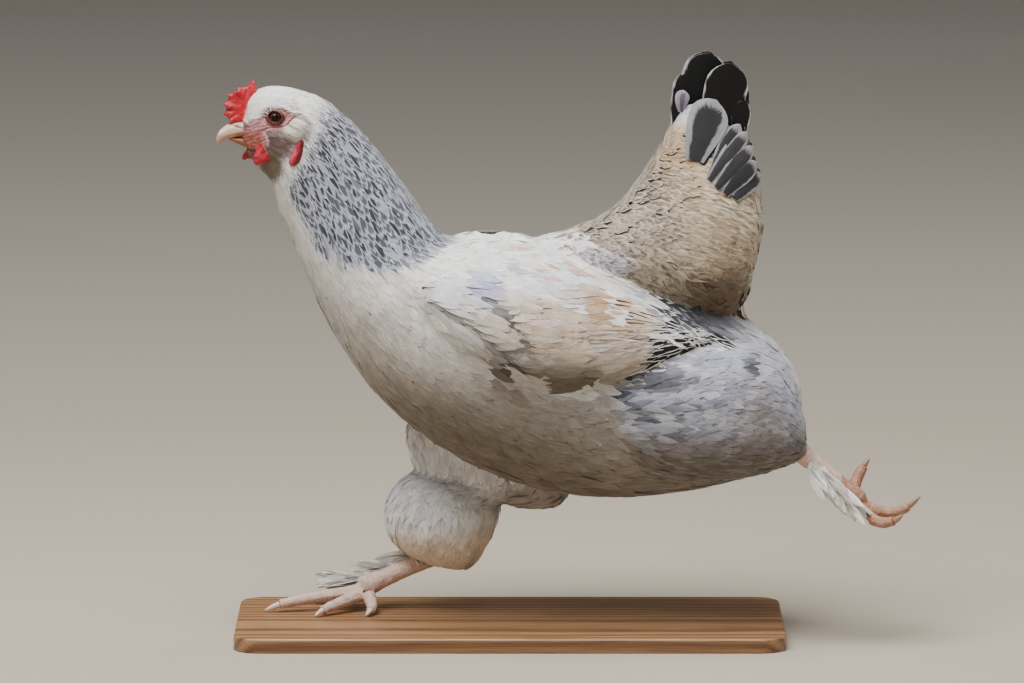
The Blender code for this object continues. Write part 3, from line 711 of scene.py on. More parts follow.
def pattern(count, strength=0.0, width=0.3, reach=0.9):
    """Strength, width and reach of the mark of each vane."""
    return np.stack([np.broadcast_to(np.asarray(a, float), (count,)) for a in (strength, width, reach)], 1)


# ======================================================================================
# Plumage of head, neck, breast and body
# One tract of feathers rooted in the skin runs from the bill over head, neck and trunk to the fluff
# under the tail. They are 2 to 4 mm wide on the head and 12 mm on the belly; the neck's are narrow
# and pointed, with dark middles.
# ======================================================================================
BODY = ((-219, 412, -219, 396, 6.0), (-214, 429, -214, 386, 10.5), (-206, 438.5, -209, 379, 15.0),
        (-190, 441, -203, 372, 18.5), (-169, 436.5, -195, 364, 20.5), (-146, 426, -192, 352, 24.5),
        (-116, 397, -188, 335, 31.0), (-86, 358, -177, 313, 42.0), (-56, 318, -165, 282, 58.0),
        (-20, 311, -147, 243, 77.0), (20, 311, -113, 190, 86.0), (56, 310, -62, 146, 88.0),
        (90, 304, -2, 115, 85.0), (122, 292, 62, 102, 81.0), (152, 275, 118, 103, 76.0),
        (180, 257, 166, 111, 69.0), (208, 238, 208, 123, 55.0), (228, 216, 230, 137, 36.0),
        (238, 192, 239, 158, 15.0), (242, 185, 242, 166, 8.0), (244, 178, 244, 173, 2.5))
BODY_TABLE = np.concatenate([BODY, np.zeros((len(BODY), 1)),
                             0.22 * (1 - ease(5, 10, np.arange(len(BODY))))[:, None]], 1)


def body_guide(u, v):
    """Row u of BODY from bill to tail, v of a turn round it from the back."""
    return rings_at(BODY_TABLE, u, v, 2.25)


def body_unwrap(one):
    """The tract slit along the back and laid flat, bill at the bottom."""
    return on_map(one["v"] % 1, one["u"] / 20)


ON_BACK = 0.17                        # share of the turn round from the back where wings and cushion rise


def fold(v):
    """How far round from the back: 0 on the back, 0.5 at the throat and belly."""
    v = v % 1
    return np.minimum(v, 1 - v)


def mottle(points, size):
    """Soft uneven patches between 0 and 1."""
    return ease(0.0, 0.9, waves(points, size, 33))


def muff_reach(local):
    """Distance from the middle of the muff, 1 at its edge."""
    return oval_reach(local, -17, -10.5, 11, 10.5)


def muff_relief(points):
    """The muff stands out as a pad, with a crease round its rear."""
    local = in_head(points)
    away = muff_reach(local)
    crease = np.exp(-((away - 1.2) / 0.16) ** 2) * ease(-15, -19, local[..., 0])
    return (0.7 * ease(1.1, 0.4, away) - crease) * (abs(local[..., 1]) > 8)


def body_paint(one):
    """White with slate dashes on the neck, grey cheeks and pale muffs. Painted shade greys the breast
    and throat, browns the belly, the flank and the throat under the wattles, darkens the hollows by
    the wing and at the cushion's foot, casts blue-grey over the hackle and the near rear, and rims
    the muffs.
    """
    place, u, round_ = one["place"], one["u"], fold(one["v"])
    count = len(u)
    ground = washes(
        # Painted shade: the lower breast and belly warmed to grey-tan, the breast and throat greyed, and
        # the flank under the wing darkened brown-grey.
        WHITE, ((172, 161, 148), 0.72 * ease(0.14, 0.38, round_) * ease(5.0, 8, u)),
        ((186, 178, 168), 0.4 * spot(place, -130, 300, 60, 60) + 0.75 * spot(place, -188, 352, 14, 30)),
        ((110, 100, 88), 0.78 * spot(place, 30, 184, 120, 46, 0, 0.8)))
    # Painted shade: the underside, from the lower breast back to the belly, darkened to brown.
    under = ease(0.28, 0.42, round_) * ease(7.5, 11.0, u) * (0.75 + 0.25 * chance.random(count))
    ground = washes(
        ground, ((86, 72, 51), 0.95 * under),
        (SHADE, 0.5 * ease(9, 12, u) * (1 - ease(0.1, 0.2, round_))),
        # Painted shade: a dark patch in the crease at the cushion's foot.
        ((56, 56, 66), 0.95 * spot(place, 164, 268, 35, 16, -20)),
        # Painted shade: brown lines on the body just under the wing's lower edge.
        ((112, 96, 84), 0.7 * np.maximum(band(place, ((-12, 216), (12, 204)), 6),
                                         band(place, ((78, 224), (110, 222)), 7))),
        # Painted shade: bluish grey low on the near side's rear, by the thigh.
        ((136, 138, 158), 0.7 * spot(place, 206, 190, 66, 60) * ease(-2, -34, place[:, 1])),
        (WHITE, 0.6 * spot(place, 59, 212, 28, 6)),
        ((96, 94, 106), 0.6 * mottle(place, 15) * spot(place, 100, 196, 40, 26)))
    ground = ground * (1 + 0.045 * chance.normal(size=(count, 1)))
    local = in_head(place)
    cheek = ease(1.2, 0.6, oval_reach(local, 2, -25, 22, 14)) * (u < 5)
    # Painted shade: dark grey-brown on the throat under the wattles.
    throat_shade = ease(1.3, 0.6, oval_reach(local, 3, -42, 11, 14)) * (u < 5.5)
    chin = ease(1.3, 0.6, oval_reach(local, 17, -31, 11, 7)) * (u < 5)
    muff = ease(1.1, 0.8, oval_reach(local, -18, -9, 10, 10)) * (u < 5)
    # Painted shadow along the muff's raised rear edge.
    crease = np.exp(-((muff_reach(local) - 1.15) / 0.13) ** 2) * ease(-15, -19, local[:, 0]) * (u < 5.5)
    streaky = spot(local, -15, 7, 7, 6) * (chance.random(count) < 0.35) * (u < 5)
    ground = washes(
        ground, ((92, 64, 58), cheek * (0.86 + 0.14 * chance.random(count))),
        ((92, 76, 54), 0.94 * throat_shade), ((112, 66, 52), chin), ((220, 211, 196), muff),
        ((126, 108, 96), 0.75 * crease))
    hackle = ease(3.9, 5.0, u) * (1 - ease(0.0, 0.35, u - 7.6 + 9 * np.maximum(round_ - 0.24, 0)))
    hackle = hackle * (1 - ease(0.34, 0.39, round_))
    # Painted shade: a blue-grey cast over the hackle, beneath its dark dashes.
    ground = blend(ground, srgb(148, 152, 168), 0.85 * hackle)
    streaked = one["width"] < 0.25 * one["length"]
    strength = hackle * ease(0.02, 0.2, chance.random(count)) * np.where(streaked | (u < 5.2), 1.0, 0.85)
    hollow_shade = np.maximum(spot(place, 136, 275, 30, 11, -28), spot(place, 96, 226, 28, 6, -10))
    hollow_shade = hollow_shade * (place[:, 2] < 300)            # painted shade in the hollows behind and under the wing
    strength = np.maximum(np.maximum(strength, hollow_shade), 0.5 * streaky)
    wide = np.maximum(0.66 + 0.14 * ease(5, 8, u), 1.2 * hollow_shade)
    mark = blend(srgb(44, 45, 54), BLACK * 1.5, 0.7 * ease(6, 7.6, u) * chance.random(count))
    return ground, mark, pattern(count, strength, wide, 0.92)


white_look = plumage("plumage_white")
u, v = rows(body_guide, 0.75, 5.2, lambda u: 1.5 + 0.22 * u, lambda u: 1.1 + 0.2 * u)
line = [body_guide(u + ahead, v) for ahead in (0, 0.22, 0.4)]
feathered = ~np.any([(bare_face(in_head(at)) > 0.5) | (orbit(at) > 0.3) for at in line], 0)
u, v = u[feathered], v[feathered]
head_laid = lay(body_guide, u, v, 5.0 + 1.9 * u, 1.7 + 0.42 * u, head_target, stations=6, sink=0.7,
                lift=0.05, curl=0.08, full=0.55, point=1.4, strict=5, fray=0.12, relief=muff_relief)
pad = muff_reach(in_head(body_guide(u, v)) + (-4, 0, 0)) < 0.85
muff_laid = lay(body_guide, u[pad], v[pad], 8.0, 2.0, head_target, stations=7, sink=0.3, lift=0.5,
                curl=0.1, full=0.55, strict=5, fray=0.12, relief=muff_relief)
coat("coat_head", [head_laid, muff_laid], body_paint, body_unwrap, white_look)

u, v = rows(body_guide, 4.7, 8.35, lambda u: 5.0 + 0.8 * (u - 5), lambda u: 3.4 + 0.7 * (u - 5))
hackle_laid = lay(body_guide, u, v, 17 + 5.0 * (u - 5), 5.6 + 1.5 * (u - 5), body_target, sink=1.6,
                  lift=0.35, point=1.25, curl=0.2, fray=0.06)
u, v = rows(body_guide, 4.9, 8.2, lambda u: 7.0 + 1.0 * (u - 5), lambda u: 4.0 + 0.7 * (u - 5))
hackle_top = lay(body_guide, u, v, 22 + 4.0 * (u - 5), 4.4 + 1.0 * (u - 5), body_target, sink=1.0,
                 lift=0.5, point=1.25, curl=0.2, fray=0.06, spread=0.1)
coat("coat_neck", [hackle_laid, hackle_top], body_paint, body_unwrap, white_look)

u, v = rows(body_guide, 7.6, 12.0, lambda u: 6.4 + 0.3 * (u - 7.6), lambda u: 5.0 + 0.4 * (u - 7.6))
breast_laid = lay(body_guide, u, v, 26 + 1.2 * (u - 7.6), 9.5 + 0.7 * (u - 7.6), body_target, lift=0.1,
                  curl=0.12, strict=np.where(fold(v) < ON_BACK, 18, 7))
coat("coat_breast", [breast_laid], body_paint, body_unwrap, white_look)

u, v = rows(body_guide, 11.6, 19.7, lambda u: 8.0, lambda u: 7.5 - 0.5 * np.clip(u - 14, 0, 4))
on_back = (fold(v) < ON_BACK) & (u < 13.6)
belly_laid = lay(body_guide, u, v, 32 - 7 * np.clip(u - 17, 0, 2), 12, body_target, sink=1.6, stray=1.3,
                 strict=np.where(on_back, 18, 7))
coat("coat_body", [belly_laid], body_paint, body_unwrap, white_look)


# ======================================================================================
# Wings
# Folded wings lie along the body, their feathers rooted in the skin: short coverts in front, longer
# ones behind, and the secondaries' edges run along the rear rim to a dark, white-laced tip.
# ======================================================================================
# Columns from shoulder to tip: x, upper edge z, lower edge z, mm.
WING = ((-76, 292, 272), (-62, 306, 257), (-41, 316, 238), (-8, 318, 214), (29, 311, 202), (66, 297, 204),
        (98, 283, 215), (125, 267, 226), (146, 254, 233), (164, 244, 238))


def wing_guide(sign):
    """A flat sheet beside the hen: u runs back along WING's columns, v from upper to lower edge."""
    def guide(u, v):
        x, high, low = np.moveaxis(spline(WING, u), -1, 0)
        run = np.clip(u - (len(WING) - 1), 0, None)
        z = high + (low - high) * v + TOP - 8 * run
        return np.stack([x + 16 * run, np.full_like(x, sign * OUTSIDE), z], -1)
    return guide


def wing_unwrap(one):
    """Both wings spread flat, the left below the right."""
    return on_half_map(one, one["u"] / 10)


CREASES = (((-16, 287), (-2, 281), (3, 269), (14, 258), (22, 244)),
           ((-66, 287), (-49, 275), (-30, 266), (-14, 252), (0, 241), (7, 228), (14, 217)))


def wing_relief(points):
    """Two creases where the coverts part, 2 mm deep."""
    return -2.0 * np.maximum(band(points, CREASES[0], 4.5), band(points, CREASES[1], 5.5))


def wing_paint(one):
    """White with tan over the middle and laced at the tip; painted shade browns the lower edge and
    darkens the creases.
    """
    place, count = one["place"], len(one["u"])
    pick = chance.random(count)
    tan = spot(place, 64, 258, 78, 34, -14)
    ground = blend(WHITE, srgb(190, 152, 108), 0.8 * tan * (0.45 + 0.55 * pick))
    ground = washes(
        ground,
        ((176, 176, 202), 0.75 * spot(place, -16, 295, 14, 12) + 0.3 * spot(place, -36, 300, 40, 12)),
        ((206, 214, 226), 0.7 * spot(place, 23, 303, 36, 9, -20)),
        ((186, 152, 116), 0.85 * spot(place, 92, 275, 34, 19, -20)))
    rim = band(place, ((10, 318), (45, 308), (80, 290), (104, 274)), 9)
    ground = washes(
        ground, ((198, 134, 72), 0.8 * rim * (pick < 0.4)),
        ((190, 182, 174), 0.4 * mottle(place, 13) * ease(312, 290, place[:, 2])))
    # Painted shade: brown along the wing's lower edge.
    low = ease(258, 226, place[:, 2] + 0.12 * place[:, 0])
    ground = blend(ground, srgb(82, 70, 51), 0.95 * low)
    # Painted shade: dark grey in the creases where the coverts part.
    crease = np.maximum(band(place, CREASES[0], 3.6), 0.85 * band(place, CREASES[1], 5))
    crease = np.maximum(crease, 0.8 * spot(place, 12, 246, 12, 4))
    crease = np.maximum(crease, 0.5 * band(place, ((-52, 313), (-30, 305)), 3))
    ground = blend(ground, srgb(54, 50, 50), 0.8 * crease)
    ground = ground * (1 + 0.06 * chance.normal(size=(count, 1)))
    tip = ease(112, 124, place[:, 0] - 0.4 * (place[:, 2] - 262))
    dashes = np.maximum(spot(place, 108, 282, 22, 18, -20), 0.6 * spot(place, 100, 258, 26, 14)) * (1 - tip)
    ground = blend(ground, WHITE, np.maximum(tip, 0.25 * dashes))
    strength = np.maximum(dashes * (pick < 0.7), tip)
    return ground, BLACK, pattern(count, strength, np.where(tip > 0.5, 0.78, 0.34), 1.2)


wing_laid = []
for sign in (-1, 1):
    u, v = rows(wing_guide(sign), 0.0, 8.9, lambda u: 5.0 + 0.25 * u, lambda u: 4.6 - 0.2 * u)
    wing_laid.append(lay(wing_guide(sign), u, v, 18 + 3.4 * np.minimum(u, 7), 8.0 - 0.3 * u, body_target,
                         lift=0.15, sideways=True, stray=0.7, fray=0.06, full=0.55, point=1.7, clump=1.2,
                         relief=wing_relief))
for side, laid in zip(("left", "right"), wing_laid):
    coat(f"coat_wing_{side}", [laid], wing_paint, wing_unwrap, white_look)

# ======================================================================================
# Cushion
# The saddle and tail coverts rise in one soft cushion. Small brown-centred feathers with pale
# rims root along the ridge, sweep back over both sides and grow long where they fall behind.
# ======================================================================================
RIDGE = ((150, 432), (132, 400), (106, 370), (74, 345), (40, 331), (22, 326), (38, 318), (62, 308))
REAR = ((202, 384), (206, 360), (207, 335), (203, 310), (198, 292), (191, 278), (180, 268), (162, 264))
LEAVE = (45, 38, 26, 14, 6, 0, -6, -12)        # degrees above level in which they leave the ridge
HALF = (14, 34, 50, 58, 60, 60, 56, 50)        # half width of the cushion on each line, mm
START = (0, 0, 0, 0, 0, 0, 0.35, 0.6)          # share of the half width at which a line starts
CUSHION = np.concatenate([RIDGE, REAR, np.stack([LEAVE, HALF, START], 1)], 1)


def cushion_guide(sign):
    """Lines v from the top of the ridge to the lower edge, each bent from its root to the rear edge."""
    def guide(u, v):
        row = spline(CUSHION, np.asarray(v) * (len(CUSHION) - 1))
        x1, z1, x2, z2, leave, half, start = np.moveaxis(row, -1, 0)
        reach = 0.5 * np.hypot(x2 - x1, z2 - z1)
        xc, zc = x1 + reach * np.cos(np.radians(leave)), z1 + reach * np.sin(np.radians(leave))
        t = np.clip(u, 0, 1)
        more = np.clip(u - 1, 0, None)
        x = (1 - t) ** 2 * x1 + 2 * t * (1 - t) * xc + t * t * x2
        z = (1 - t) ** 2 * z1 + 2 * t * (1 - t) * zc + t * t * z2
        swell = np.maximum(start * (1 - t) ** 0.5, np.sin(math.pi * t ** 0.8) ** 1.15)
        swell = swell + 0.04 * (start < 0.01) * (1 - t) ** 6
        return np.stack([x + more * (x2 - xc) * 1.5, sign * half * swell, z + more * (z2 - zc) * 1.5], -1)
    return guide


def cushion_unwrap(one):
    """Both sides of the cushion laid flat, the left below the right."""
    return on_half_map(one, np.clip(one["u"], 0, 1))


def above_tail_line(points):
    """Height of points over the slanting line on which the tail leaves the cushion, mm."""
    return points[:, 2] - 432 + 0.87 * (points[:, 0] - 130)


def cushion_paint(one):
    """Sandy with brown middles, buff at the rear and pale grey up at the tail; painted shade browns
    its lower rear and blackens the hollow at its front foot, and painted light pales its rear edge.
    """
    place, count = one["place"], len(one["u"])
    pick = chance.random(count)
    rear = ease(130, 175, place[:, 0] + 0.25 * (place[:, 2] - 320))
    ground = blend(srgb(176, 162, 142), srgb(210, 192, 164), rear)
    ground = washes(
        ground, ((228, 216, 196), 0.6 * spot(place, 186, 350, 30, 16) * pick),
        ((196, 152, 104), 0.6 * spot(place, 140, 398, 16, 10) + 0.35 * rear * (pick < 0.2)),
        # Painted shade: umber low on the cushion's rear.
        ((92, 74, 56), 0.85 * spot(place, 174, 282, 36, 25)),
        ((160, 138, 112), 0.55 * spot(place, 131, 396, 24, 28)),
        ((206, 204, 216), 0.8 * spot(place, 76, 314, 24, 9, -10)),
        # Painted light: the rear edge near the middle paled, like fluff lit from behind.
        ((238, 228, 208), 0.8 * ease(18, 8, abs(place[:, 1])) * ease(184, 196, place[:, 0])))
    ground = ground * (1 + 0.09 * chance.normal(size=(count, 1)))
    mark = blend(srgb(88, 74, 64), srgb(126, 94, 64), rear)
    above_line = ease(-4, 6, above_tail_line(place))
    # Painted shade: black marks in the hollow between the wing's rear and the cushion.
    under = spot(place, 135, 268, 26, 8, -12)
    mark = blend(mark, BLACK, under)
    ground = blend(ground, srgb(198, 198, 204), above_line)
    strength = (0.9 - 0.1 * rear) * (0.35 + 0.65 * pick) * (1 - 0.7 * above_line)
    wide = 0.56 - 0.12 * rear + 0.2 * under
    return ground, mark, pattern(count, np.maximum(strength, under), wide, 0.88)


CUSHION_LINES, ROOT_STEP = 46, 5.6      # lines down each side, and roots this far apart on each, mm
buff_look = plumage("plumage_buff")
cushion_laid = []
for sign in (-1, 1):
    guide = cushion_guide(sign)
    roots_u, roots_v, room = [], [], []
    for k, down in enumerate(np.linspace(0, 1, CUSHION_LINES)):
        line = guide(np.linspace(0, 1, 30), np.full(30, down))
        size = np.linalg.norm(np.diff(line, axis=0), axis=1).sum()
        s = (np.arange(int(size / ROOT_STEP)) + 0.5 * (k % 2)) / (size / ROOT_STEP) * 0.93
        roots_u.append(s)
        roots_v.append(np.full(len(s), down))
        room.append((1.07 - s) * size)
    u, v, room = np.concatenate(roots_u), np.concatenate(roots_v), np.concatenate(room)
    at = guide(u, v)
    below = above_tail_line(at) < 2 - 15 * np.exp(-((at[:, 0] - 164) / 13) ** 2)
    u, v, room = u[below], v[below], room[below]
    wanted = 16 + 21 * ease(0.25, 0.75, u) + 10 * ease(0.5, 0.1, v) * u
    cushion_laid.append(lay(guide, u, v, np.minimum(wanted, room), 5.6 + 4.5 * u, body_target, sink=1.5,
                            curl=0.3, strict=40, stray=1.8, fray=0.2, clump=0.9))


def rear_guide(u, v):
    """A strip down the cushion's rear edge, from under the tail to its foot."""
    x, z = np.moveaxis(spline(np.array(REAR), u), -1, 0)
    return np.stack([x + 2, (np.asarray(v) - 0.5) * 52, z], -1)


def ridge_guide(u, v):
    """A strip over the cushion's ridge: u climbs from the saddle, v crosses it."""
    x, z = np.moveaxis(spline(np.array(RIDGE)[5::-1], u), -1, 0)
    return np.stack([x, (np.asarray(v) - 0.5) * 36, z], -1)


u, v = rows(ridge_guide, 0.0, 4.7, lambda u: 5.0, lambda u: 4.5)
ridge_laid = lay(ridge_guide, u, v, 17, 7, body_target, sink=1.5, curl=0.4, strict=30, fray=0.2, stray=1.8,
                 clump=0.9)
u, v = rows(rear_guide, 0.0, 4.2, lambda u: 6.0, lambda u: 6.0)
rear_laid = lay(rear_guide, u, v, 24, 8, body_target, sink=1.0, lift=0.8, curl=0.2, strict=9, fray=0.12,
                stray=1.2, clump=0.9, point=1.6)
rear_laid["u"] += 5.5              # beside the ridge on their common map
for side, laid in zip(("left", "right"), cushion_laid):
    coat(f"coat_cushion_{side}", [laid], cushion_paint, cushion_unwrap, buff_look)
coat("coat_ridge", [ridge_laid, rear_laid], cushion_paint,
     lambda one: np.stack([0.02 + 0.085 * one["u"], 0.02 + 0.96 * one["v"]], 1), buff_look)

# ======================================================================================
# Legs' plumage
# Soft feathers rooted in the skin wrap the left thigh and the right leg down to the hock. They are
# white, slate-marked on the thigh; painted shade makes them bluish grey, brown below, and umber
# where the far thigh's fluff hangs in shadow.
# ======================================================================================
# Rings from the body outwards: upper point x, z; lower point x, z; half width; sideways place, mm.
THIGH = ((66, 200, 76, 160, 14, -58), (86, 220, 94, 140, 30, -54), (112, 230, 120, 127, 39, -52),
         (150, 235, 157, 121, 43, -51), (188, 233, 190, 124, 41, -49), (214, 224, 213, 130, 34, -48),
         (229, 205, 226, 135, 27, -48), (235, 188, 235, 139, 19, -48), (242, 170, 243, 144, 9, -48),
         (248, 163, 248, 150, 5, -48))
DRUM = ((-70, 186, 40, 176, 34, 44), (-86, 150, 52, 130, 30, 41), (-80, 121, 46, 92, 25, 40),
        (-84, 113, 10, 92, 25, 38), (-98, 103, -9, 88, 33, 38), (-104, 87, -9, 80, 38, 38),
        (-104, 71, -13, 67, 38, 38), (-98, 58, -19, 54, 33, 38), (-87, 48, -27, 42, 24, 38),
        (-72, 40, -37, 34, 13, 38))


def ring_guide(table):
    """Rings round a limb: row u of a table, v of a turn."""
    table = np.concatenate([np.asarray(table, float), np.zeros((len(table), 1))], 1)
    return lambda u, v: rings_at(table, u, v, 2.1)


def leg_unwrap(one):
    """A limb slit along its upper side and laid flat."""
    return on_map(one["v"] % 1, one["u"] / 10)


def under_body(points, low=154):
    """1 where the right leg's outer side rises from height low into the body's own coat."""
    return ease(30, 56, points[..., 1]) * ease(low, 182, points[..., 2])


def leg_paint(one):
    """White, slate-flecked on the left thigh. Painted shade makes it bluish grey, darker on the left
    thigh and towards its front, brown below, greyer where the right leg meets the body, and umber
    where the far thigh's fluff hangs.
    """
    place, count = one["place"], len(one["u"])
    pick = chance.random(count)
    near = place[:, 0] > 56
    # Painted shade: a bluish grey over the legs, deeper and darker overall on the left thigh.
    ground = blend(WHITE, srgb(150, 153, 178), np.where(near, 0.35 * pick + 0.5, 0.3 * pick + 0.1))
    ground = ground * np.where(near, 0.8, 1.0)[:, None]
    ground = washes(
        # Painted shade: umber where the far thigh's fluff hangs in shadow.
        ground, (UMBER_SHADE, 0.6 * spot(place, 26, 106, 44, 16) * ~near),
        # Painted shade: brown over the left thigh's lower part.
        ((92, 81, 64), 0.94 * ease(196, 150, place[:, 2]) * near * (0.8 + 0.2 * pick)),
        ((240, 228, 206), 0.9 * ease(92, 64, place[:, 2])),
        # Painted shade where the right leg's outer side meets the body.
        ((140, 130, 116), 0.8 * under_body(place, 150)),
        ((126, 108, 90), 0.45 * spot(place, 204, 196, 16, 26, 0, 0.9) * near),
        # Painted shade: greyer towards the front of the left thigh, under the wing.
        ((178, 170, 160), 0.8 * ease(108, 66, place[:, 0]) * near))
    slate = 0.9 * mottle(place, 15) * spot(place, 122, 200, 58, 32)
    for x, z, wide, high in ((118, 223, 24, 12), (71, 191, 12, 5), (117, 193, 8, 6), (198, 232, 6, 7)):
        slate = np.maximum(slate, spot(place, x, z, wide, high))
    slate = np.maximum(slate, band(place, ((91, 214), (102, 201), (108, 186)), 4.5))
    slate = np.maximum(slate, 0.9 * band(place, ((127, 203), (144, 186)), 3))
    slate = slate * near * (1 - 0.8 * band(place, ((104, 181), (124, 153)), 5))
    ground = washes(
        ground, ((36, 36, 44), 0.96 * slate * (0.7 + 0.3 * chance.random(count))),
        ((110, 92, 74), 0.5 * band(place, ((86, 173), (116, 155)), 4) * near))
    ground = ground * (1 + 0.05 * chance.normal(size=(count, 1)))
    return ground, SLATE, pattern(count)


u, v = rows(ring_guide(THIGH), 0.15, 8.7, lambda u: 5.2, lambda u: 4.3)
thigh_laid = lay(ring_guide(THIGH), u, v, 24, 7, body_target, sink=1.4, lift=0.4, stray=1.8, strict=6)
u, v = rows(ring_guide(DRUM), 0.1, 8.6, lambda u: 5.5, lambda u: 4.5)
leg_laid = lay(ring_guide(DRUM), u, v, 22, 7, body_target, sink=1.2, lift=0.5, stray=2.2, strict=14,
               clump=1.2, relief=lambda points: -2.8 * under_body(points))
coat("coat_thigh", [thigh_laid], leg_paint, leg_unwrap, white_look)
coat("coat_leg", [leg_laid], leg_paint, leg_unwrap, white_look)

# ======================================================================================
# Tail
# Ten broad black tail feathers with fine white rims are rooted in the rump and stand up in a
# narrow tent. White-laced coverts overlap their foot, and a few grey, laced ones fall over the rear.
# ======================================================================================
def plumes(base, tip, bend, facing, width, stations=14, full=0.6, point=2.2, curl=0.8, fray=0.012):
    """Free vanes, one per row: base to tip in a line bent by 4 bend s (1 - s), turned to face a direction;
    all are x, y, z in mm."""
    base, tip, bend, facing = (np.atleast_2d(np.asarray(a, float)) for a in (base, tip, bend, facing))
    t = along_vane(stations)
    s = t[None, :, None]
    middle = base[:, None] * (1 - s) + tip[:, None] * s + 4 * bend[:, None] * s * (1 - s)
    along = unit(np.gradient(middle, axis=1))
    side = unit(np.cross(np.broadcast_to(facing[:, None], along.shape), along))
    count = len(base)
    return vanes(middle, along, side, np.cross(along, side), t, outline(t, full, point),
                 np.broadcast_to(np.asarray(width, float), (count,)), np.linalg.norm(tip - base, axis=1),
                 fray, curl, (0.2, -0.3), u=np.linspace(0, 1, count), v=np.full(count, 0.5))


# Each side's tail feathers: foot x, z; tip x, z; width; sideways place, mm.
RECTRICES = ((151, 390, 163, 468, 38, 2), (165, 386, 181, 460, 36, 8), (168, 382, 188, 446, 26, 5),
             (177, 372, 191, 430, 18, 6), (141, 392, 146, 452, 23, 4))


def tail_unwrap(one):
    """Vanes side by side in the order they are made, the right side's in the upper half."""
    side = (one["points"][:, 0, 2, 1] > 0) * 0.5
    return np.stack([0.05 + 0.9 * one["u"], 0.1 + 0.3 * (one["length"] / 100) + side], 1)


def rectrix_paint(one):
    """Black, all but a fine white rim."""
    return srgb(222, 218, 214), BLACK, pattern(len(one["u"]), 1.0, 1.05, 1.3)


def laced_paint(one):
    """Grey-rimmed, near-black middles; the foremost ones pale lilac."""
    count = len(one["u"])
    broad, pale = one["width"] > 20, one["place"][:, 0] < 146
    mark = blend(srgb(48, 45, 48), BLACK, 0.8 * chance.random(count))
    mark = np.where(broad[:, None], srgb(28, 27, 30), mark)
    dark = np.where(broad, 0.72, chance.uniform(0.68, 0.86, count))
    ground = np.where(pale[:, None], srgb(176, 160, 176), srgb(146, 144, 146))
    return ground, mark, pattern(count, np.where(pale, 0.6, 0.96), np.where(pale, 0.4, dark), 0.93)


# Each side's coverts: root x, z; tip x, z; width; order in which they overlap.
COVERTS = ((150, 384, 168, 430, 34, 9), (140, 420, 142, 438, 12, 9), (162, 368, 194, 404, 15, 6),
           (168, 362, 198, 392, 15, 7), (175, 357, 201, 380, 16, 8), (183, 353, 205, 370, 15, 9),
           (146, 392, 160, 416, 14, 1), (156, 380, 178, 410, 16, 1), (164, 372, 188, 410, 16, 2),
           (172, 364, 194, 384, 15, 1), (180, 356, 200, 372, 15, 2))
rectrices, coverts = [], []
for sign in (-1, 1):
    for x1, z1, x2, z2, wide, side in RECTRICES:
        rectrices.append(plumes((x1, sign * side, z1 + TOP - 20), (x2, sign * (side + 1.5), z2 + TOP),
                                (-2, sign, 0), (0.15, sign, 0), wide, stations=18, full=0.8))
    foot, peak = (np.array(COVERTS)[:, k:k + 2] for k in (0, 2))
    s = np.linspace(0, 1, 9)[:, None, None]
    line = foot * (1 - s) + peak * s
    line = np.stack([line[..., 0], np.full(line.shape[:2], sign * OUTSIDE), line[..., 1] + TOP], -1)
    half = abs(drape(line, body_target, sideways=True)[..., 1])
    half = np.where(half > OUTSIDE - 1, 0, half)               # of the cushion along each covert, mm
    order = 0.25 * np.array(COVERTS)[:, 5]
    root = half[0] + 0.3 + order
    over = ((half + 0.8 + order - root * (1 - s[..., 0])) / np.maximum(s[..., 0], 0.01))[3:].max(0)
    foot = np.stack([foot[:, 0], sign * root, foot[:, 1] + TOP], 1)
    peak = np.stack([peak[:, 0], sign * np.maximum(over, 11), peak[:, 1] + TOP], 1)
    coverts.append(plumes(foot, peak, (-1, sign, 0), (0.1, sign, 0), np.array(COVERTS)[:, 4], full=0.7))
foot = np.stack([np.linspace(168, 190, 9), chance.uniform(-7, 7, 9), np.linspace(408, 384, 9)], 1)
under_tail = plumes(foot, foot + (4, 0, 34), (3, 0, 0), (1.0, 0, 0.2), 17, full=0.7)
black_look = plumage("plumage_black", roughness=0.5, sheen=0.1)
tail = coat("tail_feathers", rectrices, rectrix_paint, tail_unwrap, black_look)
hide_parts(*(f"tail_feather_{side}_{k}" for side in ("left", "right") for k in (1, 2, 3, 4)))
coat("tail_coverts", coverts + [under_tail], laced_paint, tail_unwrap, black_look)

# ======================================================================================
# Foot feathers
# White feathers grow from the skin between the scales, down the outer side of each shank and over
# the outer toe, and trail behind the foot.
# ======================================================================================
def foot_feathers(start, end, out, lie, count, length):
    """Vanes rooted along the line start to end, leaning out and lying along lie."""
    s = chance.random(count)
    start, end, out, lie = np.array(start, float), np.array(end, float), unit(out), unit(lie)
    base = start + (end - start) * s[:, None] + 1.5 * chance.normal(size=(count, 3))
    size = length * (0.7 + 0.5 * chance.random((count, 1)))
    tip = base + size * (lie + 0.12 * chance.normal(size=(count, 3))) + out * size * 0.25
    bend = out * 2.5 * chance.random((count, 1))
    facing = out + 0.5 * chance.normal(size=(count, 3))
    return plumes(base, tip, bend, facing, 7 * (0.7 + 0.5 * chance.random(count)), stations=8, curl=0.4,
                  fray=0.06, point=2.0)


feet_laid = [
    foot_feathers((-66, 44, 58), (-118, 46, 36), (-0.1, 0.6, 0.7), (-1, 0.16, -0.42), 90, 32),
    foot_feathers((-118, 48, 38), (-134, 52, 30), (-0.1, 0.6, 0.7), (-1, 0.18, -0.30), 40, 28),
    foot_feathers((243, -56, 150), (270, -58, 126), (-0.3, -0.8, -0.3), (0.74, -0.04, -0.68), 110, 30)]


def feet_paint(one):
    """White, a little uneven."""
    count = len(one["u"])
    ground = WHITE * (1.0 + 0.12 * chance.random((count, 1)))
    return ground, SLATE, pattern(count)


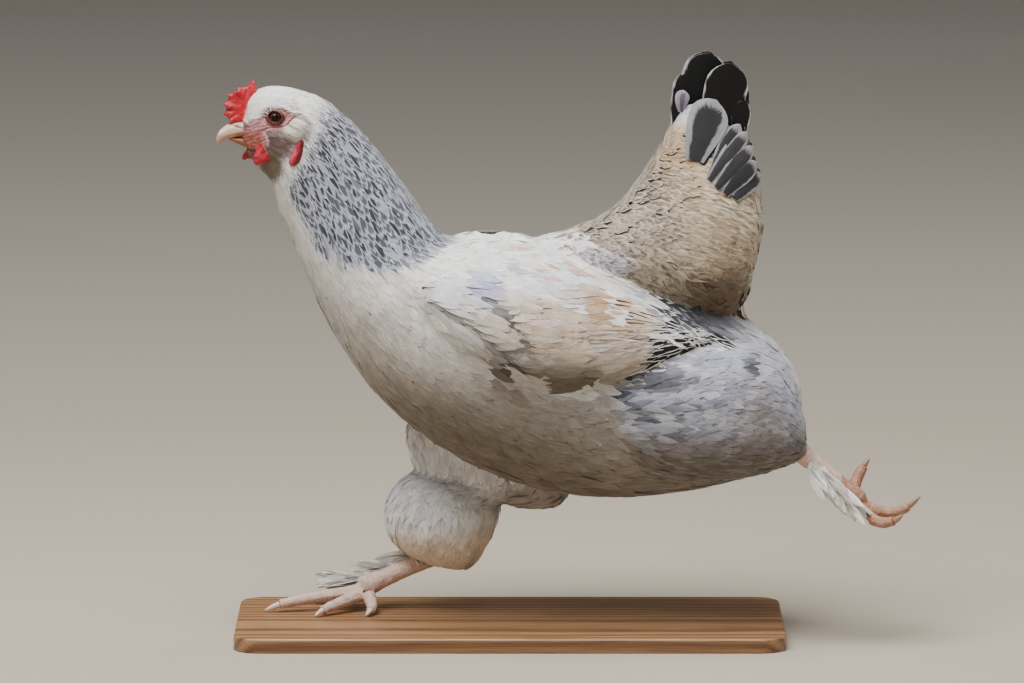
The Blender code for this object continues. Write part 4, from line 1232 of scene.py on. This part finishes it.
def feet_unwrap(one):
    """Both feet as seen from the side."""
    place = one["points"][:, 0, 2]
    return 0.05 + 0.9 * np.stack([(place[:, 0] + 150) / 450, place[:, 2] / 200], 1)


coat("coat_feet", feet_laid, feet_paint, feet_unwrap, white_look)


# ======================================================================================
# Skin: made and painted
# Under the feathers it takes the colour of the coat above. It is mauve-pink on the bare face, red on
# comb, wattles and ear lobes, and pinkish and scaled on shanks and toes. Body, head and feet meet
# under the feathers.
# ======================================================================================
RED, MAUVE, PALE = srgb(190, 14, 36), srgb(184, 132, 136), srgb(222, 196, 184)
COMB_CENTRE = np.array([-212.4, 422.8 + TOP])
COMB_VALLEYS = (101, 132, 157, 180, 203)         # degrees from the hen's rear, over the top
SCUTE = 3.2                                      # length of a scale on the feet, mm


def under_feathers(points):
    """Colour of the vane nearest to each point, so that down and skin carry the coat's markings."""
    places, tones = np.concatenate(marked_places)[::4], np.concatenate(marked_tones)[::4]
    nearest = [np.argmin((places ** 2).sum(1) - 2 * part @ places.T, 1)
               for part in np.array_split(points, len(points) // 2000 + 1)]
    return tones[np.concatenate(nearest)]


def marked_skin(mesh, colour, wet):
    """Gives a shell its colour and moist share per vertex, to be joined with the others."""
    colour_vertices(mesh, "tint", np.concatenate([colour, wet[:, None]], 1))
    return placed("skin", mesh)


shells = []
mesh = shell(BODY_PARTS[1:], 4.5, 8)
points, normals = vertices(mesh)
form = points + (drape(points, body_target) - points) * ease(-165, -130, points[:, 0])[:, None]
place_vertices(mesh, form - normals * depth_of_coat(points)[:, None])
shells.append(marked_skin(mesh, 0.85 * under_feathers(points), np.zeros(len(points))))

red_target = placed("red_form", shell(RED_PARTS, 0.7, 1))
mesh = shell(("head",) + RED_PARTS, 0.62, 3)
points, normals = vertices(mesh)
local = in_head(points)
red = 1 - ease(0.5, 1.6, np.linalg.norm(points - drape(points, red_target), axis=1))
bare = bare_face(local)
level = points - normals * (depth_of_coat(points) * (1 - red) + orbit(points))[:, None]
comb_x, comb_z = points[:, 0] - COMB_CENTRE[0], points[:, 2] - COMB_CENTRE[1]
comb_angle, comb_reach = np.degrees(np.arctan2(comb_z, comb_x)), np.hypot(comb_x, comb_z)
comb_low, comb_high = corners("comb")
on_comb = red * ((points > comb_low - 1) & (points < comb_high + 1)).all(1)
groove = sum(np.exp(-((comb_angle % 360 - valley) / 6.0) ** 2) for valley in COMB_VALLEYS)
groove = groove * ease(8, 15, comb_reach)
comb_ray = np.stack([comb_x, 0 * comb_x, comb_z], 1) / np.maximum(comb_reach, 1)[:, None]
level += (on_comb * 2.2 * groove)[:, None] * comb_ray
level += normals * (on_comb * (0.3 * waves(points, 5, 3) - 0.4 * groove + 0.4))[:, None]
level += LEFT * (on_comb * ease(8, 20, comb_reach) * 1.3 * np.sin(np.radians(comb_angle * 6.5)))[:, None]
hanging = red * (1 - (on_comb > 0))
level += normals * (hanging * 0.55 * waves(points, 6, 5))[:, None]
pleats = np.sin(2.1 * (local[:, 2] + 0.35 * local[:, 0]) + 1.5 * waves(points, 9, 8))
face = ease(-26, -10, local[:, 0]) * (1 - red)
level += normals * (face * (0.16 * pleats + 0.22 * waves(points, 4, 6)) * (0.4 + 0.6 * bare))[:, None]
under_eye = np.exp(-((local[:, 2] + 7.5 + 0.03 * local[:, 0] ** 2) / 1.1) ** 2)
under_eye = under_eye * ease(17, 10, abs(local[:, 0] - 1))
level -= normals * (0.7 * under_eye * bare)[:, None]
place_vertices(mesh, level)
colour = blend(PALE, MAUVE, bare)
gape = ease(6, 14, local[:, 0]) * ease(-9, -14, local[:, 2]) * (1 - red)
colour = washes(
    colour, ((150, 76, 64), 0.85 * gape),
    ((190, 116, 76), 0.7 * gape * ease(0.1, 0.8, waves(points, 5, 14))),
    ((150, 24, 40), 0.7 * gape * ease(0.1, 0.7, waves(points, 4, 20)) * ease(26, 16, local[:, 0])))
cere = ease(1.3, 0.7, oval_reach(local, 27, -7.5, 6, 3.5))
colour = washes(
    colour, ((84, 62, 62), 0.7 * cere),
    ((150, 92, 84), 0.55 * bare * ease(0.2, 1.0, waves(points, 3.5, 9))),
    ((132, 74, 70), 0.6 * under_eye * bare))
# Painted shade: dark brown round each eye, where the lids and brow shade it.
socket = ease(1.3, 0.8, oval_reach(local, -0.2, -0.2, 8.6, 5.6)) * (abs(local[:, 1]) > 6)
colour = washes(
    colour, ((84, 44, 40), 0.9 * socket), (RED, red),
    # Painted highlights: pink patches over comb, wattles and lobes.
    ((214, 84, 88), 0.4 * red * ease(0.1, 0.9, waves(points, 4, 4))),
    # Painted shade: darker red in the comb's grooves.
    ((120, 8, 18), on_comb * np.clip(0.7 * groove, 0, 0.6)))
lobe = hanging * (local[:, 0] < -6)
colour = washes(
    colour, ((150, 12, 34), 0.55 * hanging),
    # Painted light and shade on the ear lobes: pink where they face forward and near-black red where they
    # face back.
    ((186, 84, 104), 0.6 * lobe * ease(0.0, 0.6, normals @ FORWARD)),
    ((92, 6, 22), 0.85 * lobe * ease(0.15, -0.35, normals @ FORWARD)))
shells.append(marked_skin(mesh, colour, np.maximum(0.5 * bare, red)))
bpy.data.objects.remove(red_target)

mesh = shell(LEG_PARTS, 0.95, 3)
points, normals = vertices(mesh)
ball = np.where(points[:, :1] < 0, (-122.0, 38, 20 + TOP), (285.0, -48, 104 + TOP))     # of each foot
scute = (np.linalg.norm(points - ball, axis=1) / SCUTE) % 1
place_vertices(mesh, points + normals * (0.3 * (scute - 0.5) * ease(-0.2, 0.4, normals[:, 2])
                                         + 0.15 * waves(points, 5, 7))[:, None])
colour = blend(srgb(218, 188, 170), srgb(158, 106, 68), (points[:, 0] > 270) * 0.85)
colour = blend(colour, srgb(188, 150, 136), 0.5 * ease(0, 1, waves(points, 8, 2)))
colour = colour * (1 - 0.2 * (scute < 0.16))[:, None]
shells.append(marked_skin(mesh, colour, np.full(len(points), 0.2)))

# Eyelids: a bare rim on the eyeball that falls back to the face in fine folds.
# Nine rings from the opening outwards: how wide each is, how high it stands, and its share.
LID_SCALE = np.array([0.93, 0.98, 1.04, 1.12, 1.22, 1.36, 1.52, 1.72, 1.95])
LID_RISE = np.array([-0.3, 0.25, 0.62, 0.78, 0.55, 0.72, 0.45, 0.3, -0.6])
LID_SHARE = np.array([0, 0, 0, 0.05, 0.25, 0.5, 0.75, 0.95, 1.0])     # 0 on the eyeball, 1 on the face
LID_LONG, LID_HIGH = 6.0, 3.95         # half axes of the opening, mm
EYE_OUT = {}                           # the way each eye looks
for side, sign in (("left", 1), ("right", -1)):
    EYE_OUT[side] = out = unit(np.array([0.10, sign, 0.06]) @ np.stack([FORWARD, LEFT, UP]))
    ahead = unit(FORWARD - out * (FORWARD @ out))
    above = np.cross(ahead, out) * sign
    turn = np.linspace(0, 2 * math.pi, 65)[:-1]
    x = (LID_LONG * np.cos(turn) + 0.5 * np.cos(turn) ** 3)[None] * LID_SCALE[:, None]
    y = (LID_HIGH * np.sign(np.sin(turn)) * abs(np.sin(turn)) ** 1.15)[None] * LID_SCALE[:, None] + 0.12 * x
    on_ball = np.sqrt(np.maximum((EYE_RADIUS + 0.2) ** 2 - np.minimum(x * x + y * y, 34), 0.5))
    flat = EYES[side] + x[..., None] * ahead + y[..., None] * above
    high = flat + (on_ball + LID_RISE[:, None])[..., None] * out
    low = drape(flat + 5 * out, head_target) + (LID_RISE[:, None] * 0.7)[..., None] * out
    high += (0.6 * ease(0.1, 0.9, np.sin(turn)) * ease(1.0, 1.15, LID_SCALE)[:, None])[..., None] * out
    lid = high + (low - high) * LID_SHARE[:, None, None]
    lid += out * (0.12 * waves(lid, 2.2, 12) * ease(1.0, 1.2, LID_SCALE)[:, None])[..., None]
    behind = np.concatenate([lid, EYES[side] + (lid[::-1] - EYES[side]) * 0.9])
    count = len(turn)
    seam = grid_faces(2, count)
    seam = seam % count + np.where(seam < count, (len(behind) - 1) * count, 0)
    quads = np.concatenate([grid_faces(len(behind), count), seam])
    if sign > 0:
        quads = quads[:, ::-1]
    mesh = bpy.data.meshes.new("lid")
    mesh.from_pydata((behind.reshape(-1, 3) * MM).tolist(), [], quads.tolist())
    rim = np.hypot(x / 7.9, (y - 0.12 * x) / 5.2)
    rim = ease(1.15, 0.85, np.concatenate([rim, rim[::-1]])).ravel()
    # Painted shade: the lids darken towards the opening, in the shade round the eye.
    tone = blend(srgb(190, 124, 122), srgb(70, 34, 32), rim)
    shells.append(marked_skin(mesh, tone, np.full(len(rim), 0.8)))

bpy.ops.object.select_all(action="DESELECT")
for obj in shells:
    obj.data.shade_smooth()
    obj.select_set(True)
bpy.context.view_layer.objects.active = shells[0]
bpy.ops.object.join()
skin = bpy.context.view_layer.objects.active
skin.name = "skin"
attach(skin, "root")
look, tree, shader = material("hen_skin", Roughness=0.5)
tint = node(tree, "Attribute", attribute_name="tint")
position = node(tree, "TexCoord")["Object"]
grain = node(tree, "TexVoronoi", {"Vector": position, "Scale": 1000.0})["Distance"]
dapple = remap(tree, noise(tree, position, 300.0, 4.0), 0.0, 1.0, 0.75, 1.2)
wire(tree, shader, Base_Color=scaled(tree, tint["Color"], dapple),
     Roughness=remap(tree, tint["Alpha"], 0.0, 1.0, 0.62, 0.46), Normal=bump(tree, grain, 0.7, 0.0005))
skin.data.materials.clear()
skin.data.materials.append(look)
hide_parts(*BODY_PARTS, *HEAD_PARTS[2:], *RED_PARTS, *LEG_PARTS, "foot_feathers_left",
            "foot_feathers_right")

# ======================================================================================
# Eyes
# Each eyeball sits in its lids: a dark brown-orange iris round a black pupil, under a clear wet
# cornea that bulges a little.
# ======================================================================================
IRIS, PUPIL = 4.4, 2.7          # radii seen from outside, mm
for side, sign in (("left", 1), ("right", -1)):
    out = EYE_OUT[side]
    ahead = unit(np.cross(UP, out))
    above = np.cross(out, ahead)
    tilt, turn = np.meshgrid(np.linspace(0.02, math.pi - 0.02, 40), np.linspace(0, 2 * math.pi, 49)[:-1],
                             indexing="ij")
    bulge = EYE_RADIUS - 0.15 + 0.35 * np.exp(-(tilt / 0.55) ** 2)
    points = EYES[side] + (bulge[..., None] * (np.cos(tilt)[..., None] * out + np.sin(tilt)[..., None]
                           * (np.cos(turn)[..., None] * ahead + np.sin(turn)[..., None] * above)))
    eye = piece(f"eyeball_{side}", points.reshape(-1, 3), grid_faces(*tilt.shape))
    fill_ends(eye.data)
    eye.data.attributes.new("reach", "FLOAT", "POINT").data.foreach_set(
        "value", (EYE_RADIUS * np.sin(np.minimum(tilt, math.pi / 2))).astype(np.float32).ravel())
    look, tree, shader = material(f"eye_{side}", Roughness=0.3, Coat_Weight=0.12, Coat_Roughness=0.02)
    shader.inputs["Specular IOR Level"].default_value = 0.25
    reach = node(tree, "Attribute", attribute_name="reach")["Fac"]
    fleck = noise(tree, node(tree, "TexCoord")["Object"], 1500.0)
    share = node(tree, "Math", {0: reach, 1: 1 / EYE_RADIUS}, operation="MULTIPLY")[0]
    share = node(tree, "Math", {0: fleck, 1: 0.05, 2: share}, operation="MULTIPLY_ADD")[0]
    pupil, iris = PUPIL / EYE_RADIUS + 0.025, IRIS / EYE_RADIUS + 0.025
    wire(tree, shader, Base_Color=ramp(
        tree, share, (pupil - 0.02, srgb(6, 5, 5)), (pupil + 0.02, srgb(70, 32, 18)),
        (pupil + 0.10, srgb(138, 66, 32)), (iris - 0.08, srgb(112, 50, 26)),
        (iris - 0.01, srgb(52, 22, 15)), (iris + 0.03, srgb(12, 7, 7))))
    eye.data.materials.append(look)
    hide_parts(f"eye_{side}")

# ======================================================================================
# Beak and claws
# Horn sheaths over the jaws and the toes' ends: pinkish, with painted shade darker under the nostrils
# and at the cutting edge, and paler at the tips.
# ======================================================================================
def horn_look(name):
    """Material of horn: its own tint, with fine growth lines."""
    made, tree, shader = material(name, Roughness=0.36)
    tint = node(tree, "Attribute", attribute_name="tint")["Color"]
    place = node(tree, "TexCoord")["Object"]
    streak = noise(tree, node(tree, "Mapping", {"Vector": place, "Scale": (150, 500, 900)})[0])
    wire(tree, shader, Base_Color=scaled(tree, tint, remap(tree, streak, 0.0, 1.0, 0.85, 1.12)),
         Normal=bump(tree, streak, 0.3, 0.0003))
    return made


horn = horn_look("horn")
NOSTRIL = np.array([30.0, 3.6, -8.4])           # forward, to each side, up from between the eyes


def horn_piece(name, nodes, paint):
    """The solids of horn with their edges eased, coloured and carved by paint."""
    mesh = shell(nodes, 0.45, 4, grow=0.0)
    points, normals = vertices(mesh)
    colour, moved = paint(points, normals)
    place_vertices(mesh, points + moved)
    colour_vertices(mesh, "tint", np.concatenate([colour, np.ones((len(colour), 1))], 1))
    obj = placed(name, mesh)
    mesh.materials.append(horn)
    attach(obj, "root")
    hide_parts(*nodes)


def beak_paint(points, normals):
    """Pinkish, paler to the tip, brown at the gape and, as painted shade, towards the lower edge; the
    nostrils are slits 0.9 mm deep.
    """
    local = in_head(points)
    slant = local[:, 2] - NOSTRIL[2] - 0.3 * (local[:, 0] - NOSTRIL[0])
    hole = np.exp(-((local[:, 0] - NOSTRIL[0]) / 3.4) ** 2 - (slant / 1.1) ** 2) * (abs(local[:, 1]) > 1.5)
    colour = blend(srgb(212, 176, 156), srgb(228, 204, 188), ease(36, 46, local[:, 0]))
    colour = washes(
        # Painted shade: browner towards the lower edge.
        colour, ((160, 112, 88), 0.7 * ease(-12, -17, local[:, 2])),
        ((176, 96, 84), 0.8 * ease(28, 22, local[:, 0])))
    corner = ease(35, 29, local[:, 0]) * ease(-11, -15, local[:, 2])
    colour = washes(
        colour, ((160, 92, 56), 0.85 * corner),
        ((110, 84, 80), 0.6 * ease(34, 28, local[:, 0]) * ease(-8, -5, local[:, 2])))
    return blend(colour, srgb(60, 34, 28), hole), (-0.9 * hole)[:, None] * normals


def lower_paint(points, normals):
    """Brown, paler to the tip, and drawn up and forward to close against the upper half."""
    local = in_head(points)
    colour = blend(srgb(138, 80, 50), srgb(196, 156, 130), ease(34, 42, local[:, 0]))
    ahead = np.clip(local[:, :1] - 24, 0, None)
    return colour, 0.36 * ahead * FORWARD + (1.2 + 0.2 * ahead) * UP


def claw_paint(points, normals):
    """Pale on the front foot, brownish on the trailing one."""
    return blend(srgb(222, 200, 184), srgb(150, 122, 96), 1.0 * (points[:, 0] > 0)), 0 * points


horn_piece("beak_horn_upper", ("beak_upper",), beak_paint)
horn_piece("beak_horn_lower", ("beak_lower",), lower_paint)
horn_piece("claw_horn", tuple(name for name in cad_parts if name.startswith("claw_")), claw_paint)

for temporary in (body_target, head_target):
    bpy.data.objects.remove(temporary)
